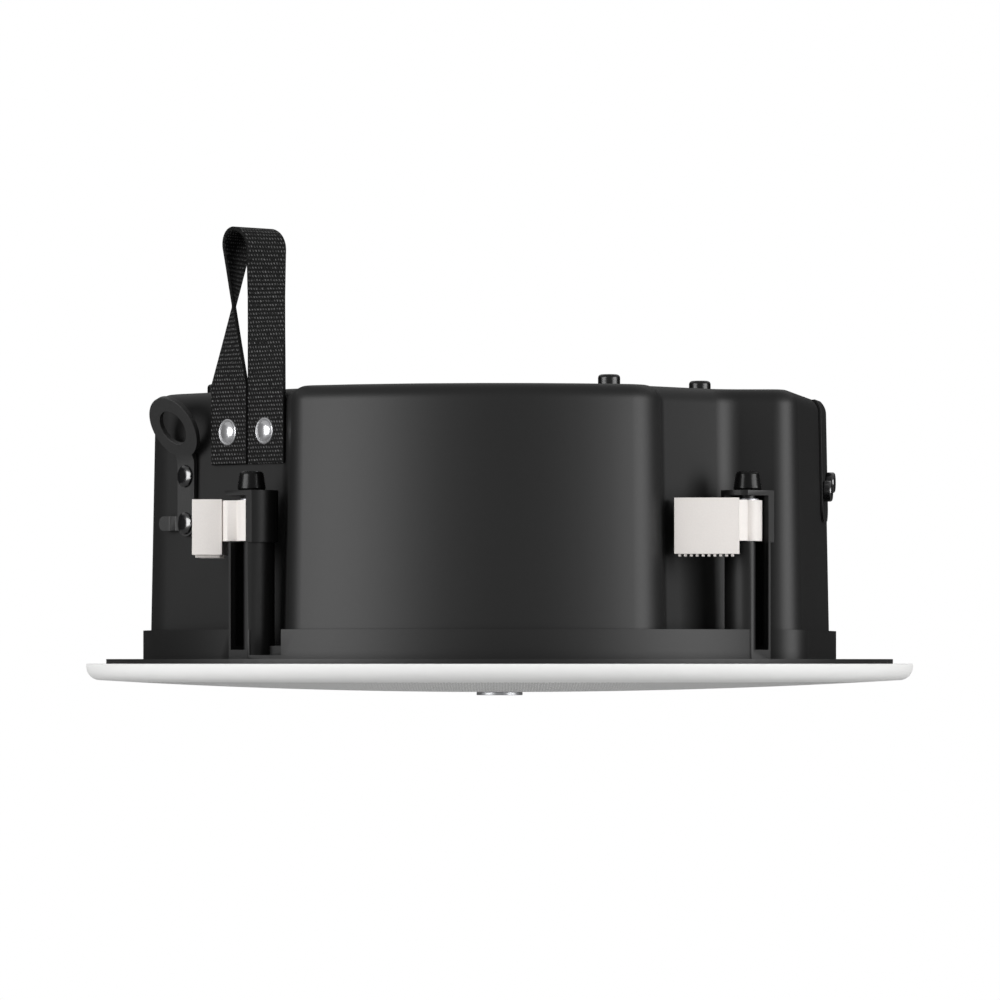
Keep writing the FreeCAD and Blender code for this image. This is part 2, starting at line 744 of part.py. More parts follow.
def bracket_screw_places():
    azimuth, shift = size("left_facet_azimuth"), size("bracket_shift")
    face = facet_at(size("bracket_low_screw")) + size("pilot_gap") + size("bracket_sheet")
    return [(azimuth, face, shift, size("bracket_low_screw")), (azimuth, face, shift, size("bracket_high_screw"))]


def cover_screw_places():
    azimuth = size("box_side_azimuth")
    places = []
    for shift, height in (("cover_near_screw", "cover_near_height"), ("cover_far_screw", "cover_far_height")):
        wall = facet_at(size(height) - size("cover_button_radius"), "box_side_distance")
        face = wall + size("pilot_gap") + size("cover_thickness")
        places.append((azimuth, face, size(shift), size(height)))
    return places


def wall_screw_places():
    return bracket_screw_places() + cover_screw_places()


def rivet_places():
    azimuth, middle, half = size("left_facet_azimuth"), size("strap_shift"), size("strap_pitch") / 2
    height = size("rivet_height_place")
    face = facet_at(size("strap_bottom")) + size("pilot_gap") + size("strap_thickness")
    return [(azimuth, face, middle - half, height), (azimuth, face, middle + half, height)]


def can_gasket():
    band = extruded("gasket_band", outline(can_sides()), "baffle_top", "gasket_thickness")
    hole = extruded("gasket_hole", outline(can_sides(), -size("can_wall")), "baffle_top", "gasket_thickness")
    name_node(cut("can_gasket_shape", band, hole), "can_gasket")


def grille():
    top = size("frame_back")
    sheet_ = size("grille_sheet")
    edge, bend = size("grille_radius"), size("grille_rim_rounding")
    foot = top - size("grille_rim_depth")
    crown = top - size("grille_dome_depth")
    hem = edge - size("grille_hem")
    pivot = spot(edge - bend, foot + bend)
    shoulder = size("grille_fold")
    diagonal = math.sqrt(0.5)
    inner_bend = bend - sheet_
    lip = math.sqrt(inner_bend ** 2 - (top - sheet_ - pivot.z) ** 2)
    half = (edge - bend) / 2
    edges = [
        line(spot(hem, top), spot(edge - shoulder, top)),
        arc(spot(edge - shoulder, top), spot(edge - shoulder * (1 - diagonal), top - shoulder * (1 - diagonal)),
            spot(edge, top - shoulder)),
    ]
    if top - shoulder - pivot.z > 1e-6:
        edges.append(line(spot(edge, top - shoulder), spot(edge, pivot.z)))
    edges += [
        arc(spot(edge, pivot.z), pivot + spot(bend * diagonal, -bend * diagonal), spot(pivot.x, foot)),
        arc(spot(pivot.x, foot), spot(half, dome_height(half, pivot.x, foot, crown)), spot(0, crown)),
        line(spot(0, crown), spot(0, crown + sheet_)),
        arc(spot(0, crown + sheet_), spot(half, dome_height(half, pivot.x, foot, crown) + sheet_),
            spot(pivot.x, foot + sheet_)),
        arc(spot(pivot.x, foot + sheet_), pivot + spot(inner_bend * diagonal, -inner_bend * diagonal),
            spot(pivot.x + lip, top - sheet_)),
        line(spot(pivot.x + lip, top - sheet_), spot(hem, top - sheet_)),
        line(spot(hem, top - sheet_), spot(hem, top)),
    ]
    name_node(skin_of_revolution("grille_shape", edges), "grille")
    base = crown + sheet_ + size("pilot_gap")
    reach = size("cloth_radius")
    film = size("cloth_thickness")
    rise = dome_height(reach, pivot.x, foot, crown) - crown
    middle = dome_height(reach / 2, pivot.x, foot, crown) - crown
    cloth = [
        line(spot(0, base), spot(0, base + film)),
        arc(spot(0, base + film), spot(reach / 2, base + film + middle), spot(reach, base + film + rise)),
        line(spot(reach, base + film + rise), spot(reach, base + rise)),
        arc(spot(reach, base + rise), spot(reach / 2, base + middle), spot(0, base)),
    ]
    name_node(skin_of_revolution("grille_cloth_shape", cloth), "grille_cloth")
    badge = cylinder("grille_badge_shape", "badge_radius", "badge_thickness", "0", "0",
                     "frame_back - grille_dome_depth - badge_thickness")
    name_node(badge, "grille_badge")
    buttons = [cylinder(f"grille_magnet_{index}", "magnet_button_radius", "magnet_button_height",
                        ring_x("magnet_button_ring", azimuth), ring_y("magnet_button_ring", azimuth),
                        "frame_back - magnet_button_height")
               for index, azimuth in enumerate([0, 90, 180, 270], start=1)]
    name_node(group("grille_magnets_shape", buttons), "grille_magnets")


def clamp_heads():
    heads, caps = [], []
    for index, azimuth in enumerate(POST_AZIMUTHS, start=1):
        across, up = ring_x("post_ring", azimuth), ring_y("post_ring", azimuth)
        block = cylinder(f"head_block_{index}", "head_radius", "head_top - post_top", across, up, "post_top")
        flat = wall_box(f"head_flat_{index}", azimuth, "post_ring + head_radius * 2", "0", "0",
                        "head_radius * 4", "head_radius * 2 - post_face", "head_top * 2")
        well = cylinder(f"head_well_{index}", "post_bore", "head_underside", across, up, "0")
        corner_x, corner_y = wall_spot("post_ring + head_radius + 1", "slot_width / 2 - head_radius * 3", azimuth)
        window = box(f"head_window_{index}", "head_radius * 3", "head_radius + 3.5", "head_underside",
                     corner_x, corner_y, "0", str(azimuth))
        hole = cylinder(f"head_hole_{index}", "screw_hole", "head_top * 2", across, up)
        heads.append(cut(f"head_{index}", block, fuse(f"head_voids_{index}", [flat, well, window, hole])))
        cap = cone(f"cap_block_{index}", "cap_radius", "cap_top_radius", "cap_height", across, up, "head_top")
        pocket = cylinder(f"cap_pocket_{index}", "screw_hole", "cap_height - cap_wall", across, up, "head_top")
        caps.append(cut(f"cap_{index}", cap, pocket))
    name_node(group("clamp_heads_shape", heads), "clamp_heads")
    name_node(group("clamp_caps_shape", caps), "clamp_caps")


def clamp_screw(index, azimuth):
    across, up = ring_x("post_ring", azimuth), ring_y("post_ring", azimuth)
    head = cylinder(f"clamp_screw_head_{index}", "clamp_screw_head_radius", "clamp_screw_head_height",
                    across, up, "baffle_bottom - running_gap - clamp_screw_head_height")
    shank = cylinder(f"clamp_screw_shank_{index}", "clamp_screw_radius",
                     "head_top + cap_height - cap_wall * 2 - baffle_bottom + running_gap", across, up,
                     "baffle_bottom - running_gap")
    slot = wall_box(f"clamp_screw_slot_{index}", azimuth, "post_ring + clamp_screw_head_radius", "0",
                    "baffle_bottom - running_gap - clamp_screw_head_height", "1.2",
                    "clamp_screw_head_radius * 2", "1.2")
    screw = cut(f"clamp_screw_shape_{index}", fuse(f"clamp_screw_solid_{index}", [head, shank]), slot)
    name_node(screw, f"clamp_screw_{index}")


def clamp_nut(index, azimuth):
    across, up = ring_x("post_ring", azimuth), ring_y("post_ring", azimuth)
    tall = "dog_boss_top + nut_stand - dog_boss_bottom"
    sleeve = cylinder(f"clamp_nut_block_{index}", "nut_radius", tall, across, up, "dog_boss_bottom")
    hole = cylinder(f"clamp_nut_hole_{index}", "screw_hole", tall, across, up, "dog_boss_bottom")
    name_node(cut(f"clamp_nut_shape_{index}", sleeve, hole), f"clamp_nut_{index}")


def clamp_dog(index, azimuth):
    # Drawn with its arm towards -Y about the screw, then turned to its stowed side.
    body = doc.addObject("PartDesign::Body", f"clamp_dog_shape_{index}")
    boss_height = "dog_boss_top - dog_boss_bottom"
    far = "0 - dog_pad_start - dog_pad_length"
    near = "0 - dog_pad_start"
    face = "0 - dog_pad_inner - dog_pad_thickness"
    pad(body, f"dog_boss_{index}", "dog_boss_bottom", boss_height, circle=("dog_boss_radius",))
    pad(body, f"dog_arm_{index}", "dog_boss_bottom", boss_height, points=[
        ("0", "0"), ("0 - dog_arm_width", "0"), ("0 - dog_arm_width", "0 - dog_arm_face"),
        ("0 - dog_arm_width - dog_link_width", "0 - dog_arm_face"),
        ("0 - dog_arm_width - dog_link_width", "0 - dog_pad_inner - dog_arm_width"),
        ("0 - dog_arm_width", "0 - dog_pad_inner - dog_arm_width"), ("0 - dog_arm_width", "0 - dog_pad_inner"),
        ("0", "0 - dog_arm_face")])
    pad(body, f"dog_pad_{index}", "dog_pad_bottom", "dog_pad_top - dog_pad_bottom", points=[
        (far, "0 - dog_pad_inner"), (far, face), (near, face), (near, "0 - dog_pad_inner")])
    start = "0 - dog_ridge_start"
    ridge = pad(body, f"dog_ridge_{index}", "dog_pad_bottom - dog_ridge", "dog_ridge * 2", points=[
        (start, "0 - dog_pad_inner - dog_ridge"), (start + " - dog_ridge", "0 - dog_pad_inner - dog_ridge"),
        (start + " - dog_ridge", face + " + dog_ridge"), (start, face + " + dog_ridge")])
    pattern = body.newObject("PartDesign::LinearPattern", f"dog_ridges_{index}")
    pattern.Originals = [ridge]
    pattern.Direction = (doc.getObject(f"dog_ridge_{index}_outline"), ["H_Axis"])
    pattern.Reversed = True
    pattern.Mode = "Spacing"
    bind(pattern, "Offset", "dog_ridge_pitch")
    bind(pattern, "Occurrences", "dog_ridge_count")
    body.Tip = pattern
    bore(body, f"dog_bore_{index}", ("nut_radius",))
    place(body, ring_x("post_ring", azimuth), ring_y("post_ring", azimuth), "0", f"{azimuth} - stow_angle")
    name_node(body, f"clamp_dog_{index}")


def woofer():
    basket = turned("basket_sheet_metal", [
        ("woofer_flange_radius", "basket_front"), ("woofer_flange_radius", "basket_face"),
        ("basket_throat + basket_sheet", "basket_face"),
        ("basket_shoulder_radius + basket_sheet", "basket_shoulder + basket_sheet"),
        ("spider_landing + basket_sheet", "basket_shoulder + basket_sheet"),
        ("spider_landing + basket_sheet", "plate_bottom"), ("coil_gap_radius + basket_sheet", "plate_bottom"),
        ("coil_gap_radius + basket_sheet", "basket_back"), ("spider_landing", "basket_back"),
        ("spider_landing", "basket_shoulder"), ("basket_shoulder_radius", "basket_shoulder"),
        ("basket_throat", "basket_front")])
    windows = []
    count = int(size("window_count"))
    for index in range(count):
        azimuth = f"{360 / count * index}"
        windows.append(wall_box(f"basket_window_{index + 1}", azimuth, "woofer_flange_radius", "0",
                                "basket_face + basket_sheet * 3", "window_width",
                                "woofer_flange_radius - basket_shoulder_radius + 5",
                                "basket_shoulder - basket_sheet * 6"))
    holes = [cylinder(f"basket_hole_{index}", "small_screw_radius + pilot_gap", "basket_sheet * 4",
                      ring_x("screw_ring", azimuth), ring_y("screw_ring", azimuth), "0 - basket_sheet * 2")
             for index, azimuth in enumerate(WOOFER_SCREWS, start=1)]
    name_node(cut("woofer_basket_shape", basket, fuse("basket_voids", windows + holes)), "woofer_basket")
    ring = cylinder("woofer_gasket_disc", "woofer_flange_radius", "woofer_gasket_thickness",
                    "0", "0", "basket_face")
    mouth = cylinder("woofer_gasket_mouth", "cutout_radius", "woofer_gasket_thickness", "0", "0", "basket_face")
    gasket_holes = [cylinder(f"gasket_hole_{index}", "small_screw_radius + pilot_gap",
                             "woofer_gasket_thickness", ring_x("screw_ring", azimuth),
                             ring_y("screw_ring", azimuth), "basket_face")
                    for index, azimuth in enumerate(WOOFER_SCREWS, start=1)]
    name_node(cut("woofer_gasket_shape", ring, fuse("woofer_gasket_voids", [mouth] + gasket_holes)),
              "woofer_gasket")
    screws = []
    for index, azimuth in enumerate(WOOFER_SCREWS, start=1):
        across, up = ring_x("screw_ring", azimuth), ring_y("screw_ring", azimuth)
        head = cylinder(f"woofer_screw_head_{index}", "small_screw_head_radius", "small_screw_head_height",
                        across, up, "basket_front - small_screw_head_height")
        shank = cylinder(f"woofer_screw_shank_{index}", "small_screw_radius",
                         "baffle_top - basket_front - running_gap", across, up, "basket_front")
        screws.append(fuse(f"woofer_screw_{index}", [head, shank]))
    name_node(group("woofer_screws_shape", screws), "woofer_screws")


def woofer_motor():
    top = cylinder("top_plate_disc", "top_plate_radius", "top_plate_thickness", "0", "0", "plate_bottom")
    gap = cylinder("top_plate_gap", "coil_gap_radius", "top_plate_thickness", "0", "0", "plate_bottom")
    name_node(cut("magnet_top_plate_shape", top, gap), "magnet_top_plate")
    ring = cylinder("magnet_disc", "magnet_radius", "magnet_thickness", "0", "0", "magnet_bottom")
    hole = cylinder("magnet_hole", "magnet_bore", "magnet_thickness", "0", "0", "magnet_bottom")
    name_node(cut("magnet_ring_shape", ring, hole), "magnet_ring")
    yoke = turned("magnet_yoke_turned", [
        ("tweeter_post_radius + pilot_gap", "plate_bottom"), ("pole_radius", "plate_bottom"),
        ("pole_radius", "yoke_bottom"), ("top_plate_radius", "yoke_bottom"), ("top_plate_radius", "yoke_top"),
        ("tweeter_post_radius + pilot_gap", "yoke_top")])
    name_node(yoke, "magnet_back_plate")


def moving_coil():
    neck = "former_radius + former_sheet"
    paper = turned("woofer_cone_shape", [
        ("cone_edge_radius", "basket_front"), ("cone_edge_radius", "basket_front + cone_paper"),
        ("cone_edge_radius - surround_roll + surround_rubber", "basket_front + cone_paper"),
        (neck + " + pilot_gap", "cone_neck_height + cone_paper"), (neck + " + pilot_gap", "cone_neck_height"),
        ("cone_edge_radius - surround_roll", "basket_front")])
    name_node(paper, "woofer_cone")
    middle = "plate_bottom + top_plate_thickness / 2"
    coil_top = "magnet_bottom + winding_thickness * 2 + woofer_travel"
    former = cylinder("former_outside", neck, coil_top + " - cone_neck_height", "0", "0", "cone_neck_height")
    inside = cylinder("former_inside", "former_radius", coil_top + " - cone_neck_height",
                      "0", "0", "cone_neck_height")
    name_node(cut("voice_coil_former_shape", former, inside), "voice_coil_former")
    wire = cylinder("winding_outside", neck + " + winding_thickness", "winding_length", "0", "0",
                    middle + " - winding_length / 2")
    core = cylinder("winding_inside", neck, "winding_length", "0", "0", middle + " - winding_length / 2")
    name_node(cut("voice_coil_winding_shape", wire, core), "voice_coil_winding")


def surround():
    inner = size("cone_edge_radius")
    outer = size("basket_throat")
    rubber = size("surround_rubber")
    top = size("basket_front")
    low = top - rubber
    middle = (inner + outer) / 2
    roll = size("surround_roll")
    glue = size("surround_roll") * 0.6
    edges = [
        line(spot(inner - glue, top), spot(inner - glue, low)), line(spot(inner - glue, low), spot(inner, low)),
        arc(spot(inner, low), spot(middle, low - roll), spot(outer, low)),
        line(spot(outer, low), spot(outer + glue, low)), line(spot(outer + glue, low), spot(outer + glue, top)),
        line(spot(outer + glue, top), spot(outer - rubber, top)),
        arc(spot(outer - rubber, top), spot(middle, low - roll + rubber), spot(inner + rubber, top)),
        line(spot(inner + rubber, top), spot(inner - glue, top)),
    ]
    name_node(skin_of_revolution("woofer_surround_shape", edges), "woofer_surround")


def spider():
    cloth = size("spider_cloth")
    start = size("former_radius") + size("former_sheet") + size("pilot_gap")
    end = size("basket_shoulder_radius") - size("basket_sheet")
    flat_from = size("spider_landing")
    top = size("basket_shoulder")
    waves = 5
    steps = waves * 8
    low = [spot(start, top - cloth)]
    for index in range(steps + 1):
        radius = start + 2 + (flat_from - start - 2) * index / steps
        low.append(spot(radius, top - cloth - size("spider_wave") * math.sin(math.pi * index / 8) ** 2))
    low.append(spot(end, top - cloth))
    high = [point + spot(0, cloth) for point in reversed(low)]
    points = low + high
    edges = [line(points[index - 1], points[index]) for index in range(len(points))]
    name_node(skin_of_revolution("woofer_spider_shape", edges), "woofer_spider")


def tweeter():
    tube = cylinder("tweeter_post_tube", "tweeter_post_radius", "yoke_top - tweeter_back", "0", "0",
                    "tweeter_back")
    wire_way = cylinder("tweeter_post_way", "tweeter_post_bore", "yoke_top - tweeter_back", "0", "0",
                        "tweeter_back")
    name_node(cut("tweeter_post_shape", tube, wire_way), "tweeter_post")
    housing = turned("tweeter_housing_shape", [
        ("0", "tweeter_back"), ("tweeter_radius", "tweeter_back"), ("tweeter_radius", "tweeter_front"),
        ("dome_mouth", "tweeter_front"), ("dome_mouth", "tweeter_front + tweeter_wall"),
        ("tweeter_radius - tweeter_wall", "tweeter_front + tweeter_wall"),
        ("tweeter_radius - tweeter_wall", "tweeter_back - tweeter_wall"), ("0", "tweeter_back - tweeter_wall")])
    name_node(housing, "tweeter_housing")
    magnet = cylinder("tweeter_magnet_shape", "tweeter_radius - tweeter_wall - pilot_gap",
                      "tweeter_magnet_height", "0", "0", "tweeter_back - tweeter_wall - tweeter_magnet_height")
    name_node(magnet, "tweeter_magnet")
    film = size("dome_film")
    base = size("tweeter_back") - size("tweeter_wall") - size("tweeter_magnet_height") - film
    radius = size("dome_radius")
    crown = base - size("dome_height")
    rim = size("tweeter_radius") - size("tweeter_wall") - 3 * size("pilot_gap")
    side = dome_height(radius / 2, radius, base, crown)
    edges = [
        line(spot(0, crown + film), spot(0, crown)),
        arc(spot(0, crown), spot(radius / 2, side), spot(radius, base)),
        line(spot(radius, base), spot(rim, base)), line(spot(rim, base), spot(rim, base + film)),
        line(spot(rim, base + film), spot(radius, base + film)),
        arc(spot(radius, base + film), spot(radius / 2, side + film), spot(0, crown + film)),
    ]
    name_node(skin_of_revolution("tweeter_dome_shape", edges), "tweeter_dome")


def crossover():
    left, front = "board_x - board_length / 2", "board_y - board_width / 2"
    board = box("board_blank", "board_length", "board_width", "board_thickness", left, front, "board_bottom")
    name_node(board, "crossover_board")
    posts = []
    for index, (side, end) in enumerate([(-1, -1), (-1, 1), (1, -1), (1, 1)], start=1):
        across = f"board_x + {side} * (board_length / 2 - standoff_inset)"
        up = f"board_y + {end} * (board_width / 2 - standoff_inset)"
        posts.append(cylinder(f"standoff_{index}", "standoff_radius", "standoff_height", across, up, "board_top"))
    name_node(group("crossover_standoffs_shape", posts), "crossover_standoffs")
    coil_x = "board_x - board_length / 2 + standoff_inset + coil_radius"
    winding = cylinder("coil_winding", "coil_radius", "coil_height", coil_x, "board_y",
                       "board_bottom - coil_height")
    core = cylinder("coil_core", "coil_bore", "coil_height", coil_x, "board_y", "board_bottom - coil_height")
    name_node(cut("crossover_coil_shape", winding, core), "crossover_coil")
    cans = []
    for index, side in enumerate([-1, 1], start=1):
        item = doc.addObject("Part::Cylinder", f"capacitor_{index}")
        bind(item, "Radius", "capacitor_radius")
        bind(item, "Height", "capacitor_length")
        item.Placement = FreeCAD.Placement(FreeCAD.Vector(), FreeCAD.Rotation(FreeCAD.Vector(0, 1, 0), 90))
        cans.append(place(item, "board_x + board_length / 2 - standoff_inset * 2 - capacitor_length",
                          f"board_y + {side} * capacitor_radius * 1.4 - 2",
                          "board_bottom - capacitor_radius"))
    name_node(group("crossover_capacitors_shape", cans), "crossover_capacitors")
    resistor = box("resistor_block", "resistor_length", "resistor_width", "resistor_height",
                   "board_x + board_length / 2 - resistor_length * 1.7",
                   "board_y + board_width / 2 - resistor_width - soft_gap",
                   "board_bottom - resistor_height")
    name_node(resistor, "crossover_resistor")


def cover_shape():
    # Plate on the box's side wall that follows the wall's draft and bends over its rounded top edge.
    azimuth, draft, rounding = size("box_side_azimuth"), size("can_draft"), size("can_edge_rounding")
    inner = rounding + size("pilot_gap")
    outer = inner + size("cover_thickness")
    brow, low = size("cover_brow"), size("cover_bottom")
    centre = facet_at(brow, "box_side_distance") - rounding / math.cos(math.radians(draft))
    start = along(azimuth) * (size("cover_shift") - size("cover_width") / 2)

    def on_edge(radius, angle):
        lean = math.radians(angle)
        reach = facing(azimuth) * (centre + radius * math.cos(lean))
        return start + reach + UP * (brow + radius * math.sin(lean))

    def on_wall(radius):
        wall = on_edge(radius, draft)
        return wall + (UP - facing(azimuth) * math.tan(math.radians(draft))) * (low - wall.z)

    wrap, end = size("cover_wrap_angle"), size("cover_wrap_angle") + size("cover_bevel_angle")
    face = Part.Face(Part.Wire([
        line(on_wall(inner), on_edge(inner, draft)),
        arc(on_edge(inner, draft), on_edge(inner, end / 2), on_edge(inner, end)),
        line(on_edge(inner, end), on_edge(outer, wrap)),
        arc(on_edge(outer, wrap), on_edge(outer, wrap / 2), on_edge(outer, draft)),
        line(on_edge(outer, draft), on_wall(outer)), line(on_wall(outer), on_wall(inner))]))
    plate = face.extrude(along(azimuth) * size("cover_width"))
    corners = [edge for edge in plate.Edges if abs(edge.Length - size("cover_thickness")) < 0.01
               and all(abs(vertex.Z - low) < 0.1 for vertex in edge.Vertexes)]
    return plate.makeFillet(size("cover_corner_rounding"), corners)


def terminal_side():
    block = wall_box("terminal_block_shape", "box_side_azimuth", "terminal_face", "cover_shift",
                     "terminal_bottom", "terminal_length", "terminal_depth", "terminal_height")
    name_node(block, "terminal_block")
    body = feature("terminal_cover_plate", cover_shape())
    holes = [feature(f"cover_hole_{index}", drilled(*spot_, size("shank_hole"), size("cover_thickness") * 3))
             for index, spot_ in enumerate(cover_screw_places(), start=1)]
    name_node(cut("terminal_cover_shape", body, fuse("cover_voids", holes)), "terminal_cover")
    sizes = (size("cover_button_radius"), size("cover_button_height"), size("button_shank_radius"))
    screws = [feature(f"cover_screw_{index}", stud(*spot_, *sizes, size("button_shank_length"), "cheese"))
              for index, spot_ in enumerate(cover_screw_places(), start=1)]
    name_node(group("terminal_cover_screws_shape", screws), "terminal_cover_screws")


def bracket_shape():
    # Drawn in the plane of the facet with x along it and y up, then stood against the wall.
    wide, sheet_, low = size("bracket_width") / 2, size("bracket_sheet"), size("bracket_low_screw")
    bend, lean = size("bracket_bend"), math.radians(size("bracket_lean"))
    out = FreeCAD.Vector(0, -1, 0)

    def plate(points_or_wire, thickness):
        return Part.Face(points_or_wire).extrude(out * thickness)

    foot = plate(Part.Wire([
        line(spot(wide, low), spot(wide, bend)), line(spot(wide, bend), spot(-wide, bend)),
        line(spot(-wide, bend), spot(-wide, low)),
        arc(spot(-wide, low), spot(0, low - wide), spot(wide, low))]), sheet_)
    eye_middle = spot(0, size("eye_rise"))
    radius = size("eye_radius")
    disc = Part.makeCylinder(radius, sheet_, eye_middle, out)
    shoulder = math.sqrt(radius ** 2 - wide ** 2)
    neck = plate(Part.makePolygon([spot(-wide, 0), spot(wide, 0), spot(wide, size("eye_rise") - shoulder + 1),
                                   spot(-wide, size("eye_rise") - shoulder + 1), spot(-wide, 0)]), sheet_)
    hole = Part.makeCylinder(size("eye_bore"), sheet_ * 3, eye_middle - out * sheet_, out)
    eye = disc.fuse(neck).cut(hole)
    eye.Placement = FreeCAD.Placement(spot(0, bend), FreeCAD.Rotation(FreeCAD.Vector(1, 0, 0), math.degrees(lean)))
    wedge = Part.Face(Part.makePolygon([
        FreeCAD.Vector(-wide, 0, bend), FreeCAD.Vector(-wide, -sheet_, bend),
        FreeCAD.Vector(-wide, -sheet_ * math.cos(lean), bend - sheet_ * math.sin(lean)),
        FreeCAD.Vector(-wide, 0, bend)])).extrude(FreeCAD.Vector(2 * wide, 0, 0))
    reach, half, step = size("tongue_reach"), size("tongue_width") / 2, size("tongue_step")
    bend_from = -wide - size("tongue_lead")
    root = plate(Part.makePolygon([spot(0, low - half), spot(0, low + half), spot(bend_from, low + half),
                                   spot(bend_from, low - half), spot(0, low - half)]), sheet_)
    slope = Part.Face(Part.makePolygon([
        FreeCAD.Vector(bend_from, 0, low - half), FreeCAD.Vector(bend_from, -sheet_, low - half),
        FreeCAD.Vector(bend_from - step, -sheet_ - step, low - half),
        FreeCAD.Vector(bend_from - step, -step, low - half),
        FreeCAD.Vector(bend_from, 0, low - half)])).extrude(UP * half * 2)
    tip_from, tip_to = bend_from - step, half - reach
    tip = Part.Face(Part.Wire([
        line(spot(tip_from, low + half), spot(tip_to, low + half)),
        arc(spot(tip_to, low + half), spot(tip_to - half, low), spot(tip_to, low - half)),
        line(spot(tip_to, low - half), spot(tip_from, low - half)),
        line(spot(tip_from, low - half), spot(tip_from, low + half))])).extrude(out * sheet_)
    tip.translate(out * step)
    whole = foot.multiFuse([eye, wedge, root, slope, tip])
    for height in (low, size("bracket_high_screw")):
        whole = whole.cut(Part.makeCylinder(size("shank_hole"), sheet_ * 4, spot(0, height) - out * sheet_, out))
    return whole.removeSplitter()


def safety_bracket():
    item = feature("safety_bracket_shape", bracket_shape())
    azimuth, distance = size("left_facet_azimuth"), facet_at(size("bracket_low_screw")) + size("pilot_gap")
    base = facing(azimuth) * distance + along(azimuth) * size("bracket_shift")
    item.Placement = FreeCAD.Placement(base, FreeCAD.Rotation(UP, azimuth))
    name_node(item, "safety_bracket")
    sizes = (size("button_radius"), size("button_height"), size("button_shank_radius"))
    screws = [feature(f"bracket_screw_{index}", stud(*spot_, *sizes, size("button_shank_length")))
              for index, spot_ in enumerate(bracket_screw_places(), start=1)]
    name_node(group("safety_bracket_screws_shape", screws), "safety_bracket_screws")


def carry_strap():
    # A flat band: up one leg, over the top and down the other, each half turned a quarter by the crest.
    azimuth, turn = size("left_facet_azimuth"), size("strap_loop_angle")
    out, side = facing(azimuth), along(azimuth)
    loop_out, loop_side = facing(azimuth + turn), along(azimuth + turn)
    half, thick = size("strap_width") / 2, size("strap_thickness") / 2
    middle, apart = size("strap_shift"), size("strap_pitch") / 2
    centre = out * size("strap_loop_distance") + side * middle + UP * size("strap_loop_centre")
    loop = size("strap_loop_radius")

    def section(spot_, across, run):
        through = across.cross(run).normalize()
        corners = [spot_ + across * half * sign_a + through * thick * sign_b
                   for sign_a, sign_b in ((1, 1), (-1, 1), (-1, -1), (1, -1))]
        return Part.makePolygon(corners + corners[:1])

    def half_band(sign):
        # Sections of one half from its foot to the crest; the sign is -1 for the left half.
        wall = facet_at(size("strap_bottom")) + size("pilot_gap") + thick
        foot = out * wall + side * (middle + apart * sign)
        low, top = foot + UP * size("strap_release"), centre + loop_side * loop * sign
        reach = (top - low).Length
        whole = reach + loop * math.pi / 2
        found = [section(foot + UP * size("strap_bottom"), side * -sign, UP * -sign)]
        for travel in [reach * share for share in (0, 0.25, 0.5, 0.75, 1)]:
            found.append(section(low + (top - low) * (travel / reach), twisted(sign, travel / whole), UP * -sign))
        for index in range(1, 5):
            angle = math.pi / 2 * index / 4
            radial = loop_side * math.cos(angle) * sign + UP * math.sin(angle)
            run = loop_side * math.sin(angle) + UP * math.cos(angle) * -sign
            found.append(section(centre + radial * loop, twisted(sign, (reach + loop * angle) / whole), run))
        return found

    def twisted(sign, part):
        # The band's edges run straight, so it narrows where it is half turned.
        return side * -sign * (1 - part) + loop_out * part

    sections = half_band(-1) + half_band(1)[-2::-1]
    band = Part.makeLoft(sections, True, True)
    holes = [drilled(*spot_, size("rivet_hole"), size("strap_thickness") * 2) for spot_ in rivet_places()]
    name_node(feature("carry_strap_shape", band.cut(holes[0].fuse(holes[1]))), "carry_strap")
    sizes = (size("rivet_radius"), size("rivet_head"), size("rivet_shank_radius"))
    rivets = [feature(f"strap_rivet_{index}", stud(*spot_, *sizes, size("strap_thickness") + size("can_wall")))
              for index, spot_ in enumerate(rivet_places(), start=1)]
    name_node(group("strap_rivets_shape", rivets), "strap_rivets")


def small_pieces():
    bumpers = [cylinder(f"bumper_{index}", "bumper_radius", "bumper_height", across, up, "can_top")
               for index, (across, up) in enumerate(BUMPERS, start=1)]
    name_node(group("top_bumpers_shape", bumpers), "top_bumpers")
    screws = []
    for index, (distance, azimuth) in enumerate(CAN_SCREWS, start=1):
        across, up = ring_x(f"({distance})", azimuth), ring_y(f"({distance})", azimuth)
        head = cylinder(f"can_screw_head_{index}", "small_screw_head_radius", "small_screw_head_height",
                        across, up, "baffle_bottom - small_screw_head_height")
        shank = cylinder(f"can_screw_shank_{index}", "small_screw_radius", "can_screw_length", across, up,
                         "baffle_bottom")
        screws.append(fuse(f"can_screw_{index}", [head, shank]))
    name_node(group("can_screws_shape", screws), "can_screws")
    outer = cylinder("lining_outside", "lining_outer", "lining_top - baffle_top - soft_gap", "0", "0",
                     "baffle_top + soft_gap")
    inner = cylinder("lining_inside", "lining_outer - lining_thickness", "lining_top", "0", "0",
                     "baffle_top + soft_gap")
    name_node(cut("acoustic_lining_shape", outer, inner), "acoustic_lining")


front_frame()
back_can()
can_gasket()
grille()
clamp_heads()
for number, post_azimuth in enumerate(POST_AZIMUTHS, start=1):
    clamp_screw(number, post_azimuth)
    clamp_nut(number, post_azimuth)
    clamp_dog(number, post_azimuth)
woofer()
woofer_motor()
moving_coil()
surround()
spider()
tweeter()
crossover()
terminal_side()
safety_bracket()
carry_strap()
small_pieces()
doc.recompute()

failed = [item.Name for item in doc.Objects if "Invalid" in item.State or "Error" in item.State]
if failed:
    raise RuntimeError(f"did not recompute: {failed}")
for item in nodes:
    if item.Shape.isNull() or not item.Shape.isValid():
        raise RuntimeError(f"{item.Label} has no valid shape")
for item in nodes:
    item.Shape.exportStep(f"parts/{item.Label}.step")
    print(item.Label, len(item.Shape.Solids), round(item.Shape.Volume, 1))
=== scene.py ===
import json
import math

